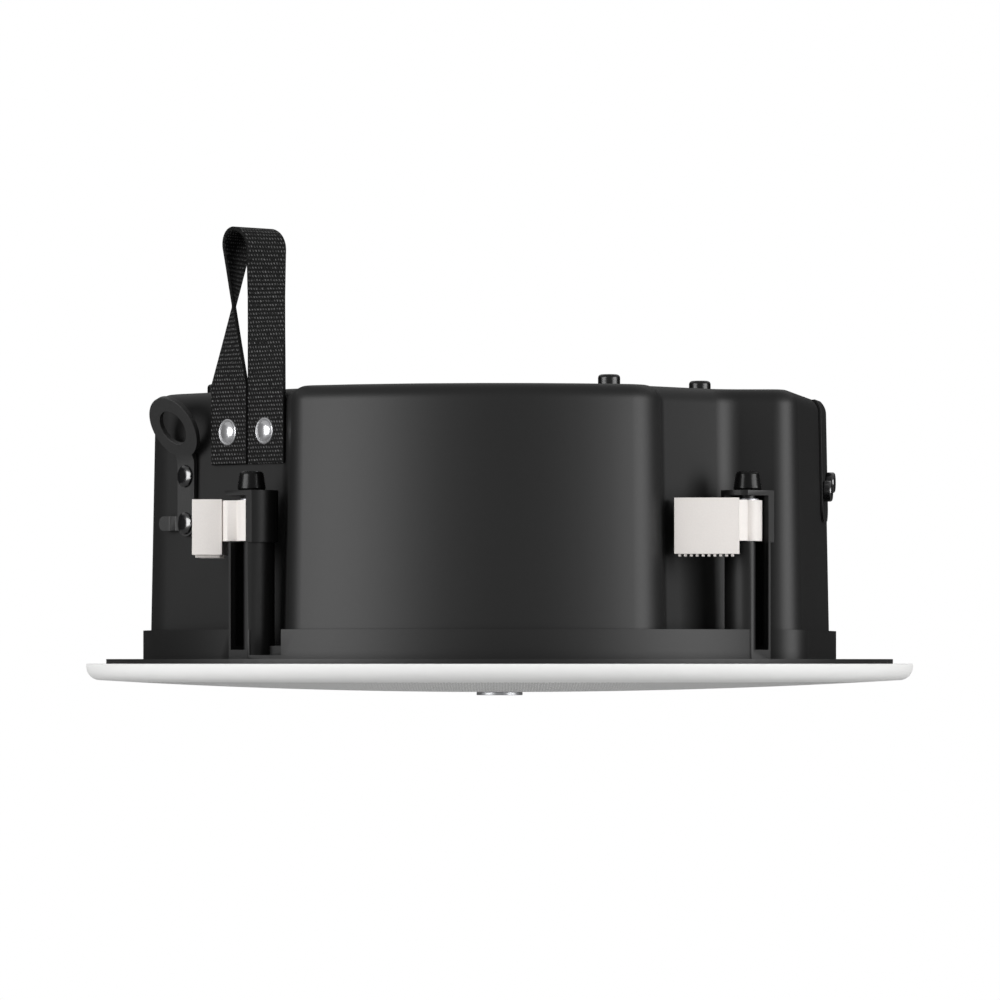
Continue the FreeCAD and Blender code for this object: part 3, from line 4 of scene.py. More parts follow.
import bmesh
import bpy
from bpy.props import FloatProperty, FloatVectorProperty, PointerProperty
from mathutils import Matrix, Vector


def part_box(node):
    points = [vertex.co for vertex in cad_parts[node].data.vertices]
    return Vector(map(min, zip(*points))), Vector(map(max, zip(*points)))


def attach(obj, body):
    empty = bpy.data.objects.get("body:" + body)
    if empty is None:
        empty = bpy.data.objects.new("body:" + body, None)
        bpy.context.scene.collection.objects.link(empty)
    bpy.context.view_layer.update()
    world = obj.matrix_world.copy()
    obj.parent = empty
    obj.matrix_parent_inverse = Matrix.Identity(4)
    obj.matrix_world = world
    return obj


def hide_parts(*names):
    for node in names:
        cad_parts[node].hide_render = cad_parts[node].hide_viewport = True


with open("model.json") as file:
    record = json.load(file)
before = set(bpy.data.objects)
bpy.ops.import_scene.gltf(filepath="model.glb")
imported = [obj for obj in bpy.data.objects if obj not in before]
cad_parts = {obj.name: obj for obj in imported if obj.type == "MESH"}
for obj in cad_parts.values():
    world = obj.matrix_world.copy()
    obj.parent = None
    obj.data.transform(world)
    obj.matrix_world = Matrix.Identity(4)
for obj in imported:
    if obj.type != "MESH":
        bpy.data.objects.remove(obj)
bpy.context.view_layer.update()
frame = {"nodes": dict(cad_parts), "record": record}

bl_info = {
    "name": "Ceiling speaker",
    "version": (1, 0, 0),
    "blender": (4, 5, 0),
    "location": "View3D > Sidebar > Speaker",
    "description": "Dresses the ceiling speaker's frame with its pieces, finishes, lights and camera",
    "category": "Object",
}

MM = 0.001

# The frame's triangles that meet within this distance share their corners before their edges are rounded, and
# flat triangles are joined where they turn by less than this angle.
SHARED_CORNER = 0.002 * MM
FLAT_ANGLE = math.radians(0.4)
# Only edges sharper than this are rounded.
ROUNDED_ABOVE = math.radians(40)


def linear(code):
    """Linear red, green, blue and alpha of an sRGB hex colour."""
    parts = [int(code[place:place + 2], 16) / 255 for place in (1, 3, 5)]
    light = [part / 12.92 if part <= 0.04045 else ((part + 0.055) / 1.055) ** 2.4 for part in parts]
    return tuple(light) + (1.0,)


def add(tree, kind, settings=None, values=None, links=None):
    """One node with its settings, its socket values and the sockets that feed it."""
    node = tree.nodes.new(kind)
    for name, value in (settings or {}).items():
        setattr(node, name, value)
    for name, value in (values or {}).items():
        node.inputs[name].default_value = value
    for name, source in (links or {}).items():
        tree.links.new(source, node.inputs[name])
    return node


def colour_property(name, code):
    return FloatVectorProperty(name=name, description=f"Base colour of the {name.lower()}", subtype="COLOR",
                               size=4, min=0, max=1, default=linear(code))


def length_property(name, description, millimetres):
    return FloatProperty(name=name, description=description, default=millimetres * MM, subtype="DISTANCE",
                         unit="LENGTH", precision=5)


# The strap stands on the left facet of the can, which faces this many degrees to the right of the front.
FACET_AZIMUTH = math.radians(-48)
FACET_OUT = Vector((math.sin(FACET_AZIMUTH), -math.cos(FACET_AZIMUTH), 0))
FACET_ALONG = Vector((math.cos(FACET_AZIMUTH), math.sin(FACET_AZIMUTH), 0))
UP = Vector((0, 0, 1))


class SpeakerGrilleSizes(bpy.types.PropertyGroup):
    """Sizes of the perforated steel grille."""
    radius: FloatProperty(name="Radius", description="Outside radius of the grille", subtype="DISTANCE",
                          unit="LENGTH", default=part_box("grille")[1][0])
    rim_rounding: length_property("Rim rounding", "Radius of the rolled rim", 4.3)
    fold: length_property("Fold", "Rounding of the fold where the rim meets the hem", 0.3)
    rim_depth: length_property("Rim depth", "Depth of the rim below the frame", 5.15)
    dome_depth: length_property("Dome depth", "Depth of the crown below the frame", 8.9)
    hem: length_property("Hem", "Width of the hem that is folded in over the rim", 8.7)
    sheet: length_property("Sheet", "Thickness of the steel", 0.9)
    hole_pitch: length_property("Hole pitch", "Distance between neighbouring holes", 1.75)
    hole_radius: length_property("Hole radius", "Radius of one hole", 0.47)
    holes_to: length_property("Perforated radius", "Radius inside which the sheet is perforated", 118.5)
    holes_below: length_property("Perforated height", "Height below which the sheet is perforated", -5.2)


class SpeakerStrapSizes(bpy.types.PropertyGroup):
    """Sizes of the webbing carry strap."""
    width: length_property("Width", "Width of the webbing", 17.0)
    thickness: length_property("Thickness", "Thickness of the webbing", 1.3)
    foot: length_property("Foot height", "Height of the strap's two ends", 59.8)
    release: length_property("Release height", "Height at which the strap leaves the can", 84.4)
    crest: length_property("Loop height", "Height of the loop's centre", 125.3)
    loop: length_property("Loop radius", "Radius of the loop at the strap's middle", 6.5)
    middle: length_property("Middle", "Place of the strap's middle along the wall", -11.6)
    pitch: length_property("Pitch", "Distance between the strap's two legs", 17.6)
    foot_distance: length_property("Foot distance", "Distance of the strap's feet from the axis", 93.38)
    loop_distance: length_property("Loop distance", "Distance of the loop from the axis", 92.1)
    loop_turn: FloatProperty(name="Loop turn", description="Turn of the loop about the upright direction",
                             subtype="ANGLE", default=math.radians(4.7))


class SpeakerHardwareSizes(bpy.types.PropertyGroup):
    """Sizes of the rivets and of the rounded edges."""
    rivet_radius: length_property("Rivet radius", "Radius of a rivet's head", 4.1)
    rivet_height: length_property("Rivet height", "Height of the rivets above the ceiling side", 69.8)
    can_edge: length_property("Can edge", "Rounding of the can's small edges", 0.35)
    frame_edge: length_property("Frame edge", "Rounding of the frame's edges", 0.25)
    clamp_edge: length_property("Clamp edge", "Rounding of the clamps' edges", 0.3)
    small_edge: length_property("Small edge", "Rounding of the small pieces' edges", 0.18)
    cap_edge: length_property("Cap edge", "Rounding of the clamp caps' tops", 1.8)
    bumper_edge: length_property("Bumper edge", "Rounding of the bumpers' tops", 1.1)


class SpeakerColours(bpy.types.PropertyGroup):
    """Base colours of the finishes."""
    housing: colour_property("Can and frame plastic", "#151515")
    clamp: colour_property("Clamp head plastic", "#141414")
    cap: colour_property("Clamp cap plastic", "#0e0e0e")
    dog: colour_property("Clamp arm nylon", "#e8e3df")
    grille: colour_property("Grille powder coat", "#f1f1f0")
    badge: colour_property("Badge aluminium", "#8a8b8d")
    webbing: colour_property("Webbing polyester", "#0c0c0c")
    # Lighter grey of the painted highlight on the webbing's float threads, where they would catch the light.
    painted_thread_gleam: colour_property("Webbing painted thread highlight", "#666666")
    bracket: colour_property("Bracket powder coat", "#1f1f1f")
    rivet: colour_property("Rivet nickel", "#9c9c9e")


class SpeakerStageSizes(bpy.types.PropertyGroup):
    """Camera, floor and lights."""
    camera_distance: length_property("Camera distance", "Distance of the camera from the axis", 2100)
    camera_height: length_property("Camera height", "Height of the camera above the ceiling side", -0.6)
    lens: FloatProperty(name="Lens", description="Focal length in millimetres", default=240.0)
    shift_x: FloatProperty(name="Shift across", description="Sideways shift of the lens", default=0.0004)
    shift_y: FloatProperty(name="Shift up", description="Upward shift of the lens", default=0.161)
    floor_height: length_property("Floor height", "Height of the floor", -350)
    floor_radius: length_property("Floor radius", "Radius of the floor", 2600)
    softbox_left: FloatProperty(name="Left softbox", description="Direction of the left softbox",
                                subtype="ANGLE", default=math.radians(-54))
    softbox_right: FloatProperty(name="Right softbox", description="Direction of the right softbox",
                                 subtype="ANGLE", default=math.radians(60))
    softbox_width: length_property("Softbox width", "Width of each softbox", 1100)
    softbox_height: length_property("Softbox height", "Height of each softbox", 900)
    softbox_distance: length_property("Softbox distance", "Distance of each softbox from the axis", 1500)
    gleam_rise: length_property("Gleam rise", "Height of each reflection above the ceiling side", 180)
    aim_height: length_property("Aim height", "Height that the softboxes are turned to", 40)
    softbox_power: FloatProperty(name="Softbox power", description="Power of each reflection in watts",
                                 default=60.0, min=0)
    fill_power: FloatProperty(name="Fill power", description="Power of each softbox's soft light in watts",
                              default=16.0, min=0)
    fill_rise: length_property("Fill rise", "Height of the soft light above the ceiling side", 520)
    flag_radius: length_property("Flag radius", "Distance of the grey flag round the speaker", 1650)
    flag_height: length_property("Flag height", "Height of the grey flag", 1700)
    room_light: FloatProperty(name="Room light", description="Light of the room on matte surfaces",
                              default=0.3, min=0, max=1)


def settings():
    return bpy.context.scene.ceiling_speaker


def started(name):
    """A material with its shader, its output and its object coordinates."""
    material = bpy.data.materials.new(name)
    material.use_nodes = True
    tree = material.node_tree
    tree.nodes.clear()
    shader = add(tree, "ShaderNodeBsdfPrincipled")
    add(tree, "ShaderNodeOutputMaterial", links={"Surface": shader.outputs["BSDF"]})
    place = add(tree, "ShaderNodeTexCoord").outputs["Object"]
    return material, tree, shader, place


def textured(name, colour, roughness, grain_mm, relief=0.1, mottle=0.06, spread=0.05, metallic=0.0,
             specular=0.5):
    """A finish whose colour, gloss and relief vary with a grain of a real size."""
    material, tree, shader, place = started(name)
    fine = add(tree, "ShaderNodeTexNoise",
               values={"Scale": 1 / (grain_mm * MM), "Detail": 3.0, "Roughness": 0.6},
               links={"Vector": place})
    broad = add(tree, "ShaderNodeTexNoise", values={"Scale": 1 / (grain_mm * 40 * MM), "Detail": 2.0},
                links={"Vector": place})
    both = add(tree, "ShaderNodeMath", {"operation": "MULTIPLY_ADD"}, {1: 0.5},
               {0: broad.outputs["Fac"], 2: fine.outputs["Fac"]})
    low = tuple(part * (1 - mottle) for part in colour[:3]) + (1.0,)
    high = tuple(min(1.0, part * (1 + mottle)) for part in colour[:3]) + (1.0,)
    tone = add(tree, "ShaderNodeMapRange", values={"From Min": 0.4, "From Max": 1.1},
               links={"Value": both.outputs["Value"]})
    mixed = add(tree, "ShaderNodeMix", {"data_type": "RGBA"}, {6: low, 7: high},
                {0: tone.outputs["Result"]})
    tree.links.new(mixed.outputs[2], shader.inputs["Base Color"])
    gloss = add(tree, "ShaderNodeMapRange",
                values={"To Min": max(0.02, roughness - spread), "To Max": min(1.0, roughness + spread)},
                links={"Value": fine.outputs["Fac"]})
    tree.links.new(gloss.outputs["Result"], shader.inputs["Roughness"])
    bump = add(tree, "ShaderNodeBump", values={"Strength": relief, "Distance": grain_mm * 0.3 * MM},
               links={"Height": fine.outputs["Fac"]})
    tree.links.new(bump.outputs["Normal"], shader.inputs["Normal"])
    shader.inputs["Metallic"].default_value = metallic
    shader.inputs["Specular IOR Level"].default_value = specular
    return material


def powder_coated_grille():
    """White powder coat on perforated steel sheet: a soft sheen, faint orange peel, and round punched holes
    in staggered rows that read dark because black cloth lies behind them."""
    sizes, colours = settings().grille, settings().colours
    material, tree, shader, place = started("powder_coated_perforated_steel")
    row = sizes.hole_pitch * math.sqrt(3)
    flat = add(tree, "ShaderNodeVectorMath", {"operation": "MULTIPLY"}, {1: (1, 1, 0)}, {0: place})
    nearest = []
    for shift in ((0.0, 0.0, 0.0), (sizes.hole_pitch / 2, row / 2, 0.0)):
        moved = add(tree, "ShaderNodeVectorMath", {"operation": "ADD"}, {1: shift},
                    {0: flat.outputs["Vector"]})
        cell = add(tree, "ShaderNodeVectorMath", {"operation": "WRAP"},
                   {1: (sizes.hole_pitch / 2, row / 2, 1.0), 2: (-sizes.hole_pitch / 2, -row / 2, -1.0)},
                   {0: moved.outputs["Vector"]})
        nearest.append(add(tree, "ShaderNodeVectorMath", {"operation": "LENGTH"},
                           links={0: cell.outputs["Vector"]}))
    closest = add(tree, "ShaderNodeMath", {"operation": "MINIMUM"},
                  links={0: nearest[0].outputs["Value"], 1: nearest[1].outputs["Value"]})
    # A hole's edge is softened by an eighth of its radius to each side, as the paint rounds it.
    punched = add(tree, "ShaderNodeMapRange", {"interpolation_type": "SMOOTHSTEP"},
                  {"From Min": sizes.hole_radius * 1.12, "From Max": sizes.hole_radius * 0.88},
                  {"Value": closest.outputs["Value"]})
    reach = add(tree, "ShaderNodeVectorMath", {"operation": "LENGTH"}, links={0: flat.outputs["Vector"]})
    inside = add(tree, "ShaderNodeMath", {"operation": "LESS_THAN"}, {1: sizes.holes_to},
                 {0: reach.outputs["Value"]})
    height = add(tree, "ShaderNodeSeparateXYZ", links={"Vector": place})
    below = add(tree, "ShaderNodeMath", {"operation": "LESS_THAN"}, {1: sizes.holes_below},
                {0: height.outputs["Z"]})
    both = add(tree, "ShaderNodeMath", {"operation": "MULTIPLY"},
               links={0: inside.outputs["Value"], 1: below.outputs["Value"]})
    hole = add(tree, "ShaderNodeMath", {"operation": "MULTIPLY"},
               links={0: punched.outputs["Result"], 1: both.outputs["Value"]})
    colour = add(tree, "ShaderNodeMix", {"data_type": "RGBA"},
                 {6: tuple(colours.grille), 7: linear("#2a2a2a")}, {0: hole.outputs["Value"]})
    tree.links.new(colour.outputs[2], shader.inputs["Base Color"])
    peel_mm = 0.9
    peel = add(tree, "ShaderNodeTexNoise", values={"Scale": 1 / (peel_mm * MM), "Detail": 2.0},
               links={"Vector": place})
    relief = add(tree, "ShaderNodeMath", {"operation": "MULTIPLY_ADD"}, {1: -6.0},
                 {0: hole.outputs["Value"], 2: peel.outputs["Fac"]})
    bump = add(tree, "ShaderNodeBump", values={"Strength": 0.25, "Distance": 0.05 * MM},
               links={"Height": relief.outputs["Value"]})
    tree.links.new(bump.outputs["Normal"], shader.inputs["Normal"])
    gloss = add(tree, "ShaderNodeMapRange", values={"To Min": 0.58, "To Max": 0.95},
                links={"Value": hole.outputs["Value"]})
    tree.links.new(gloss.outputs["Result"], shader.inputs["Roughness"])
    shader.inputs["Specular IOR Level"].default_value = 0.1
    return material


def woven_webbing():
    """Woven polyester webbing: tight cross ribs about 1.3 mm apart, each a row of slanted float threads. The
    tops of the floats, where they would catch the light, carry a painted highlight in a lighter grey. It is
    left off the plain edges, which stay darker."""
    colours, sizes = settings().colours, settings().strap
    material, tree, shader = started("woven_polyester_webbing")[:3]
    cloth = add(tree, "ShaderNodeUVMap", {"uv_map": "cloth"})
    across_mm = 1.25
    along_mm = 1.28
    spread = add(tree, "ShaderNodeVectorMath", {"operation": "MULTIPLY"},
                 {1: (sizes.width / (across_mm * MM), strap_length(sizes) / (along_mm * MM), 1.0)},
                 {0: cloth.outputs["UV"]})
    wobble = add(tree, "ShaderNodeTexNoise", {"noise_dimensions": "3D"}, {"Scale": 1.3, "Detail": 1.0},
                 {"Vector": spread.outputs["Vector"]})
    # The threads wander by up to about a sixth of their spacing.
    drift = add(tree, "ShaderNodeVectorMath", {"operation": "MULTIPLY_ADD"},
                {1: (0.35, 0.3, 0.0), 2: (-0.17, -0.15, 0.0)}, {0: wobble.outputs["Color"]})
    warped = add(tree, "ShaderNodeVectorMath", {"operation": "ADD"},
                 links={0: spread.outputs["Vector"], 1: drift.outputs["Vector"]})
    parts = add(tree, "ShaderNodeSeparateXYZ", links={"Vector": warped.outputs["Vector"]})
    row = add(tree, "ShaderNodeMath", {"operation": "FLOOR"}, links={0: parts.outputs["Y"]})
    odd = add(tree, "ShaderNodeMath", {"operation": "MULTIPLY_ADD"}, {1: 0.5},
              {0: row.outputs["Value"], 2: parts.outputs["X"]})
    ribs = add(tree, "ShaderNodeMath", {"operation": "FRACT"}, links={0: parts.outputs["Y"]})
    slant = add(tree, "ShaderNodeMath", {"operation": "MULTIPLY_ADD"}, {1: 0.42},
                {0: ribs.outputs["Value"], 2: odd.outputs["Value"]})
    floats = add(tree, "ShaderNodeMath", {"operation": "FRACT"}, links={0: slant.outputs["Value"]})
    rise = []
    for source in (ribs, floats):
        turn = add(tree, "ShaderNodeMath", {"operation": "MULTIPLY"}, {1: math.pi},
                   {0: source.outputs["Value"]})
        rise.append(add(tree, "ShaderNodeMath", {"operation": "SINE"}, links={0: turn.outputs["Value"]}))
    pillow = add(tree, "ShaderNodeMath", {"operation": "MULTIPLY"},
                 links={0: rise[0].outputs["Value"], 1: rise[1].outputs["Value"]})
    # Painted highlight: the tops of the float threads, where they would catch the light, are painted a
    # lighter grey. Its strength varies unevenly, and it is kept off the plain edges.
    painted_thread_gleam = add(tree, "ShaderNodeMapRange", {"interpolation_type": "SMOOTHSTEP"},
                {"From Min": 0.5, "From Max": 0.95}, {"Value": pillow.outputs["Value"]})
    uneven = add(tree, "ShaderNodeTexNoise", {"noise_dimensions": "3D"}, {"Scale": 0.9, "Detail": 2.0},
                 {"Vector": spread.outputs["Vector"]})
    strength = add(tree, "ShaderNodeMapRange", values={"From Min": 0.32, "From Max": 0.62},
                   links={"Value": uneven.outputs["Fac"]})
    side = add(tree, "ShaderNodeSeparateXYZ", links={"Vector": cloth.outputs["UV"]})
    off = add(tree, "ShaderNodeMath", {"operation": "SUBTRACT"}, {1: 0.5}, {0: side.outputs["X"]})
    edge = add(tree, "ShaderNodeMath", {"operation": "ABSOLUTE"}, links={0: off.outputs["Value"]})
    body = add(tree, "ShaderNodeMapRange", values={"From Min": 0.497, "From Max": 0.485},
               links={"Value": edge.outputs["Value"]})
    shown = add(tree, "ShaderNodeMath", {"operation": "MULTIPLY"},
                links={0: painted_thread_gleam.outputs["Result"], 1: strength.outputs["Result"]})
    kept = add(tree, "ShaderNodeMath", {"operation": "MULTIPLY"},
               links={0: shown.outputs["Value"], 1: body.outputs["Result"]})
    colour = add(tree, "ShaderNodeMix", {"data_type": "RGBA"},
                 {6: tuple(colours.webbing), 7: tuple(colours.painted_thread_gleam)}, {0: kept.outputs["Value"]})
    tree.links.new(colour.outputs[2], shader.inputs["Base Color"])
    bump = add(tree, "ShaderNodeBump", values={"Strength": 0.8, "Distance": 0.25 * MM},
               links={"Height": pillow.outputs["Value"]})
    tree.links.new(bump.outputs["Normal"], shader.inputs["Normal"])
    shader.inputs["Roughness"].default_value = 0.66
    shader.inputs["Specular IOR Level"].default_value = 0.05
    return material


def finishes():
    """Every finish by its name, made once."""
    colours = settings().colours
    return {
        # Injection-moulded ABS with a fine spark-eroded grain: soft broad highlights on near-black.
        "housing": textured("moulded_abs_black", tuple(colours.housing), 0.5, 0.3, relief=0.1, specular=0.12),
        # Glass-filled nylon of the clamp heads: a little smoother than the housing.
        "clamp": textured("glass_filled_nylon_black", tuple(colours.clamp), 0.46, 0.25, relief=0.08,
                          specular=0.11),
        # Polished polypropylene caps and pan heads: dark with two tight reflections.
        "cap": textured("polished_polypropylene_black", tuple(colours.cap), 0.27, 0.5, relief=0.02,
                        mottle=0.03, spread=0.03, specular=0.08),
        # Natural nylon, moulded matte, with a faint flow grain.
        "dog": textured("natural_nylon", tuple(colours.dog), 0.5, 0.45, relief=0.12, mottle=0.035,
                        specular=0.2),
        # Zinc-plated steel plates and posts: a soft grey metal shine, a little blotchy.
        "zinc": textured("zinc_plated_steel", linear("#8d8e90"), 0.38, 0.3, metallic=1.0, mottle=0.12),
        # Dull zinc on the drawn steel sleeves, with a brushed-out sheen.
        "sleeve": textured("dull_zinc_on_steel", linear("#77777a"), 0.52, 0.3, metallic=1.0, mottle=0.12),
        # Black oxide on the clamp screws: a thin oiled coat, nearly as dark as the plastic.
        "oxide": textured("black_oxide_on_steel", linear("#1a1a1b"), 0.45, 0.3, mottle=0.1, specular=0.2),
        # Bright nickel on the pressed rivets and magnets: one sharp highlight that fades fast.
        "nickel": textured("nickel_plated_steel", tuple(colours.rivet), 0.24, 0.4, relief=0.03, metallic=0.55,
                           mottle=0.05, spread=0.04),
        # Satin aluminium of the blank badge: an even mid grey with a soft sheen.
        "badge": textured("satin_aluminium", tuple(colours.badge), 0.42, 0.15, metallic=0.6, mottle=0.05),
        # Coarse textured powder coat on the steel bracket: catches light as fine grit.
        "bracket": textured("textured_powder_coat", tuple(colours.bracket), 0.5, 0.35, relief=0.7, mottle=0.2,
                            specular=0.2),
        # Black lacquer on turned steel heads: a small hard highlight on near-black.
        "button": textured("black_lacquered_steel", linear("#0c0c0d"), 0.2, 0.4, relief=0.03, mottle=0.04,
                           spread=0.04, specular=0.5),
        # Rubber moulded in a polished mould: dark, with a soft bright band.
        "bumper": textured("glossy_moulded_rubber", linear("#101010"), 0.28, 0.3, relief=0.05, specular=0.16),
        # Open-weave acoustic cloth and closed-cell foam: dull, rough and dark.
        "cloth": textured("acoustic_cloth", linear("#0b0b0c"), 0.85, 0.5, relief=0.6, mottle=0.25,
                          specular=0.2),
        "foam": textured("closed_cell_foam", linear("#1b1b1c"), 0.9, 0.6, relief=0.6, mottle=0.2,
                         specular=0.2),
        # Stove enamel on pressed steel: smooth dark paint with a broad sheen.
        "painted": textured("stove_enamelled_steel", linear("#151516"), 0.4, 0.5, relief=0.1),
        # Ground sintered ferrite: a dull charcoal ceramic.
        "ferrite": textured("sintered_ferrite", linear("#2c2d2f"), 0.6, 0.25, relief=0.4, mottle=0.15),
        # Pressed paper pulp of the cone: matte, with fibres that show as mottling.
        "paper": textured("pressed_paper_pulp", linear("#1d1d1e"), 0.75, 0.8, relief=0.5, mottle=0.2,
                          specular=0.3),
        # Rolled aluminium foil and enamelled copper wire: thin bright metals.
        "foil": textured("rolled_aluminium_foil", linear("#b9babc"), 0.3, 0.5, metallic=1.0),
        "copper": textured("enamelled_copper_wire", linear("#a8572a"), 0.35, 0.25, relief=0.5, metallic=0.8,
                           mottle=0.15),
        # Butyl rubber of the surround: nearly matte black.
        "rubber": textured("butyl_rubber", linear("#131314"), 0.55, 0.4, relief=0.15, specular=0.3),
        # Cotton cloth stiffened with resin, and coated silk: woven and dull, one amber and one black.
        "spider": textured("phenolic_cotton_cloth", linear("#b08a4a"), 0.8, 0.5, relief=0.5, mottle=0.15),
        "silk": textured("coated_silk", linear("#1a1a1b"), 0.6, 0.3, relief=0.4, mottle=0.15),
        # Fibreglass board under green solder mask: an even satin green.
        "board": textured("fibreglass_board", linear("#1f5b34"), 0.45, 0.6, relief=0.1, mottle=0.1),
        # Plain moulded nylon spacers: a soft off-white.
        "nylon": textured("white_nylon", linear("#dcd9d0"), 0.5, 0.5),
        # Capacitors wound in yellow film tape, and a resistor in a chalky ceramic case.
        "film": textured("wound_film_tape", linear("#c7a332"), 0.3, 0.8, relief=0.05),
        "ceramic": textured("cement_ceramic", linear("#d2d1cc"), 0.85, 0.3, relief=0.4, mottle=0.08),
        # Moulded polyamide of the terminal block: a satin green.
        "terminal": textured("moulded_polyamide_green", linear("#2b6b39"), 0.45, 0.4),
        # Polyester wadding: a soft, uneven white without any shine.
        "wadding": textured("polyester_wadding", linear("#cfcfca"), 0.95, 1.6, relief=1.0, mottle=0.12),
        "grille": powder_coated_grille(),
        "webbing": woven_webbing(),
    }


INNER_FINISHES = {
    "can_gasket": "foam", "grille_cloth": "cloth", "grille_magnets": "nickel", "woofer_basket": "painted",
    "woofer_gasket": "foam", "woofer_screws": "button", "magnet_top_plate": "zinc", "magnet_ring": "ferrite",
    "magnet_back_plate": "zinc", "woofer_cone": "paper", "voice_coil_former": "foil",
    "voice_coil_winding": "copper", "woofer_surround": "rubber", "woofer_spider": "spider",
    "tweeter_post": "zinc", "tweeter_housing": "painted", "tweeter_magnet": "nickel", "tweeter_dome": "silk",
    "crossover_board": "board", "crossover_standoffs": "nylon", "crossover_coil": "copper",
    "crossover_capacitors": "film", "crossover_resistor": "ceramic", "terminal_block": "terminal",
    "can_screws": "button", "acoustic_lining": "wadding",
}
CLAMPS = (1, 2, 3, 4)
made = {}


def finish_named(name):
    """The finish of that name; all are made when the first is asked for."""
    if not made:
        made.update(finishes())
    return made[name]


def body_holding(node):
    """The rigid body that a CAD node rides on."""
    bodies = frame["record"]["behaviour"]["bodies"]
    return next(body for body, members in bodies.items() if node in members)


def piece_from(shell, name, finish, body, replaced, angle=35):
    """Object made from a bmesh, smooth except at sharp edges, that rides on a body for CAD nodes."""
    mesh = bpy.data.meshes.new(name)
    shell.to_mesh(mesh)
    shell.free()
    mesh.shade_smooth()
    mesh.set_sharp_from_angle(angle=math.radians(angle))
    mesh.materials.append(finish_named(finish))
    piece = bpy.data.objects.new(name, mesh)
    bpy.context.scene.collection.objects.link(piece)
    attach(piece, body)
    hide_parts(*replaced)
    return piece


def dressed(node, name, finish, edge, segments=2):
    """Copy of a CAD node with its triangles joined and its sharp edges rounded."""
    shell = bmesh.new()
    shell.from_mesh(frame["nodes"][node].data)
    bmesh.ops.remove_doubles(shell, verts=shell.verts, dist=SHARED_CORNER)
    bmesh.ops.dissolve_limit(shell, angle_limit=FLAT_ANGLE, verts=shell.verts, edges=shell.edges)
    piece = piece_from(shell, name, finish, body_holding(node), [node])
    rounded = piece.modifiers.new("rounded_edges", "BEVEL")
    rounded.width = edge
    rounded.segments = segments
    rounded.limit_method = "ANGLE"
    rounded.angle_limit = ROUNDED_ABOVE
    rounded.harden_normals = True
    return piece


def lathed(profile, steps, frame_at=None):
    """Shape turned about the Z axis from (radius, height) points, then stood in a frame if one is given."""
    shell = bmesh.new()
    points = [shell.verts.new((radius, 0, height)) for radius, height in profile]
    edges = [shell.edges.new(pair) for pair in zip(points, points[1:])]
    bmesh.ops.spin(shell, geom=points + edges, cent=(0, 0, 0), axis=(0, 0, 1), angle=2 * math.pi, steps=steps,
                   use_merge=True)
    bmesh.ops.remove_doubles(shell, verts=shell.verts, dist=SHARED_CORNER / 2)
    bmesh.ops.recalc_face_normals(shell, faces=shell.faces)
    if frame_at is not None:
        bmesh.ops.transform(shell, matrix=frame_at, verts=shell.verts)
    return shell


def arc_points(centre, radius, start, end, steps):
    """Points of an arc in the (radius, height) plane, angles in degrees from the outward direction."""
    angles = [math.radians(start + (end - start) * index / steps) for index in range(steps + 1)]
    return [(centre[0] + radius * math.cos(angle), centre[1] + radius * math.sin(angle)) for angle in angles]


class SPEAKER_OT_grille(bpy.types.Operator):
    """Make the domed steel grille with its rolled rim and hem"""
    bl_idname = "speaker.grille"
    bl_label = "Grille"

    def execute(self, context):
        sizes = settings().grille
        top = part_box("grille")[1][2]
        foot, crown = top - sizes.rim_depth, top - sizes.dome_depth
        pivot = (sizes.radius - sizes.rim_rounding, foot + sizes.rim_rounding)
        sag = foot - crown
        ball = (pivot[0] ** 2 + sag ** 2) / (2 * sag)

        def dome(radius):
            return crown + ball - math.sqrt(ball ** 2 - radius ** 2)

        dome_steps = 28
        radii = [pivot[0] * index / dome_steps for index in range(dome_steps + 1)]
        outside = [(radius, dome(radius)) for radius in radii[:-1]]
        outside += arc_points(pivot, sizes.rim_rounding, -90, 0, 10)
        fold = sizes.fold
        outside += arc_points((sizes.radius - fold, top - fold), fold, 15, 90, 5)
        outside.append((sizes.radius - sizes.hem, top))
        inside = [(sizes.radius - sizes.hem, top - sizes.sheet)]
        bend = sizes.rim_rounding - sizes.sheet
        inside += arc_points(pivot, bend, math.degrees(math.asin((inside[0][1] - pivot[1]) / bend)), -90, 8)
        inside += [(radius, dome(radius) + sizes.sheet) for radius in reversed(radii[:-1])]
        steps_round = 240
        shell = lathed(outside + inside, steps_round)
        piece_from(shell, "grille_shell", "grille", body_holding("grille"), ["grille"],
                   angle=50)
        dressed("grille_badge", "grille_badge_plate", "badge", settings().hardware.small_edge)
        return {"FINISHED"}


class SPEAKER_OT_housing(bpy.types.Operator):
    """Dress the back can, the front frame, the terminal cover and the bumpers"""
    bl_idname = "speaker.housing"
    bl_label = "Housing"

    def execute(self, context):
        sizes = settings().hardware
        dressed("back_can", "back_can_moulding", "housing", sizes.can_edge)
        dressed("front_frame", "front_frame_moulding", "housing", sizes.frame_edge)
        dressed("terminal_cover", "terminal_cover_plate", "housing", sizes.small_edge)
        dressed("top_bumpers", "top_bumper_feet", "bumper", sizes.bumper_edge, 4)
        return {"FINISHED"}


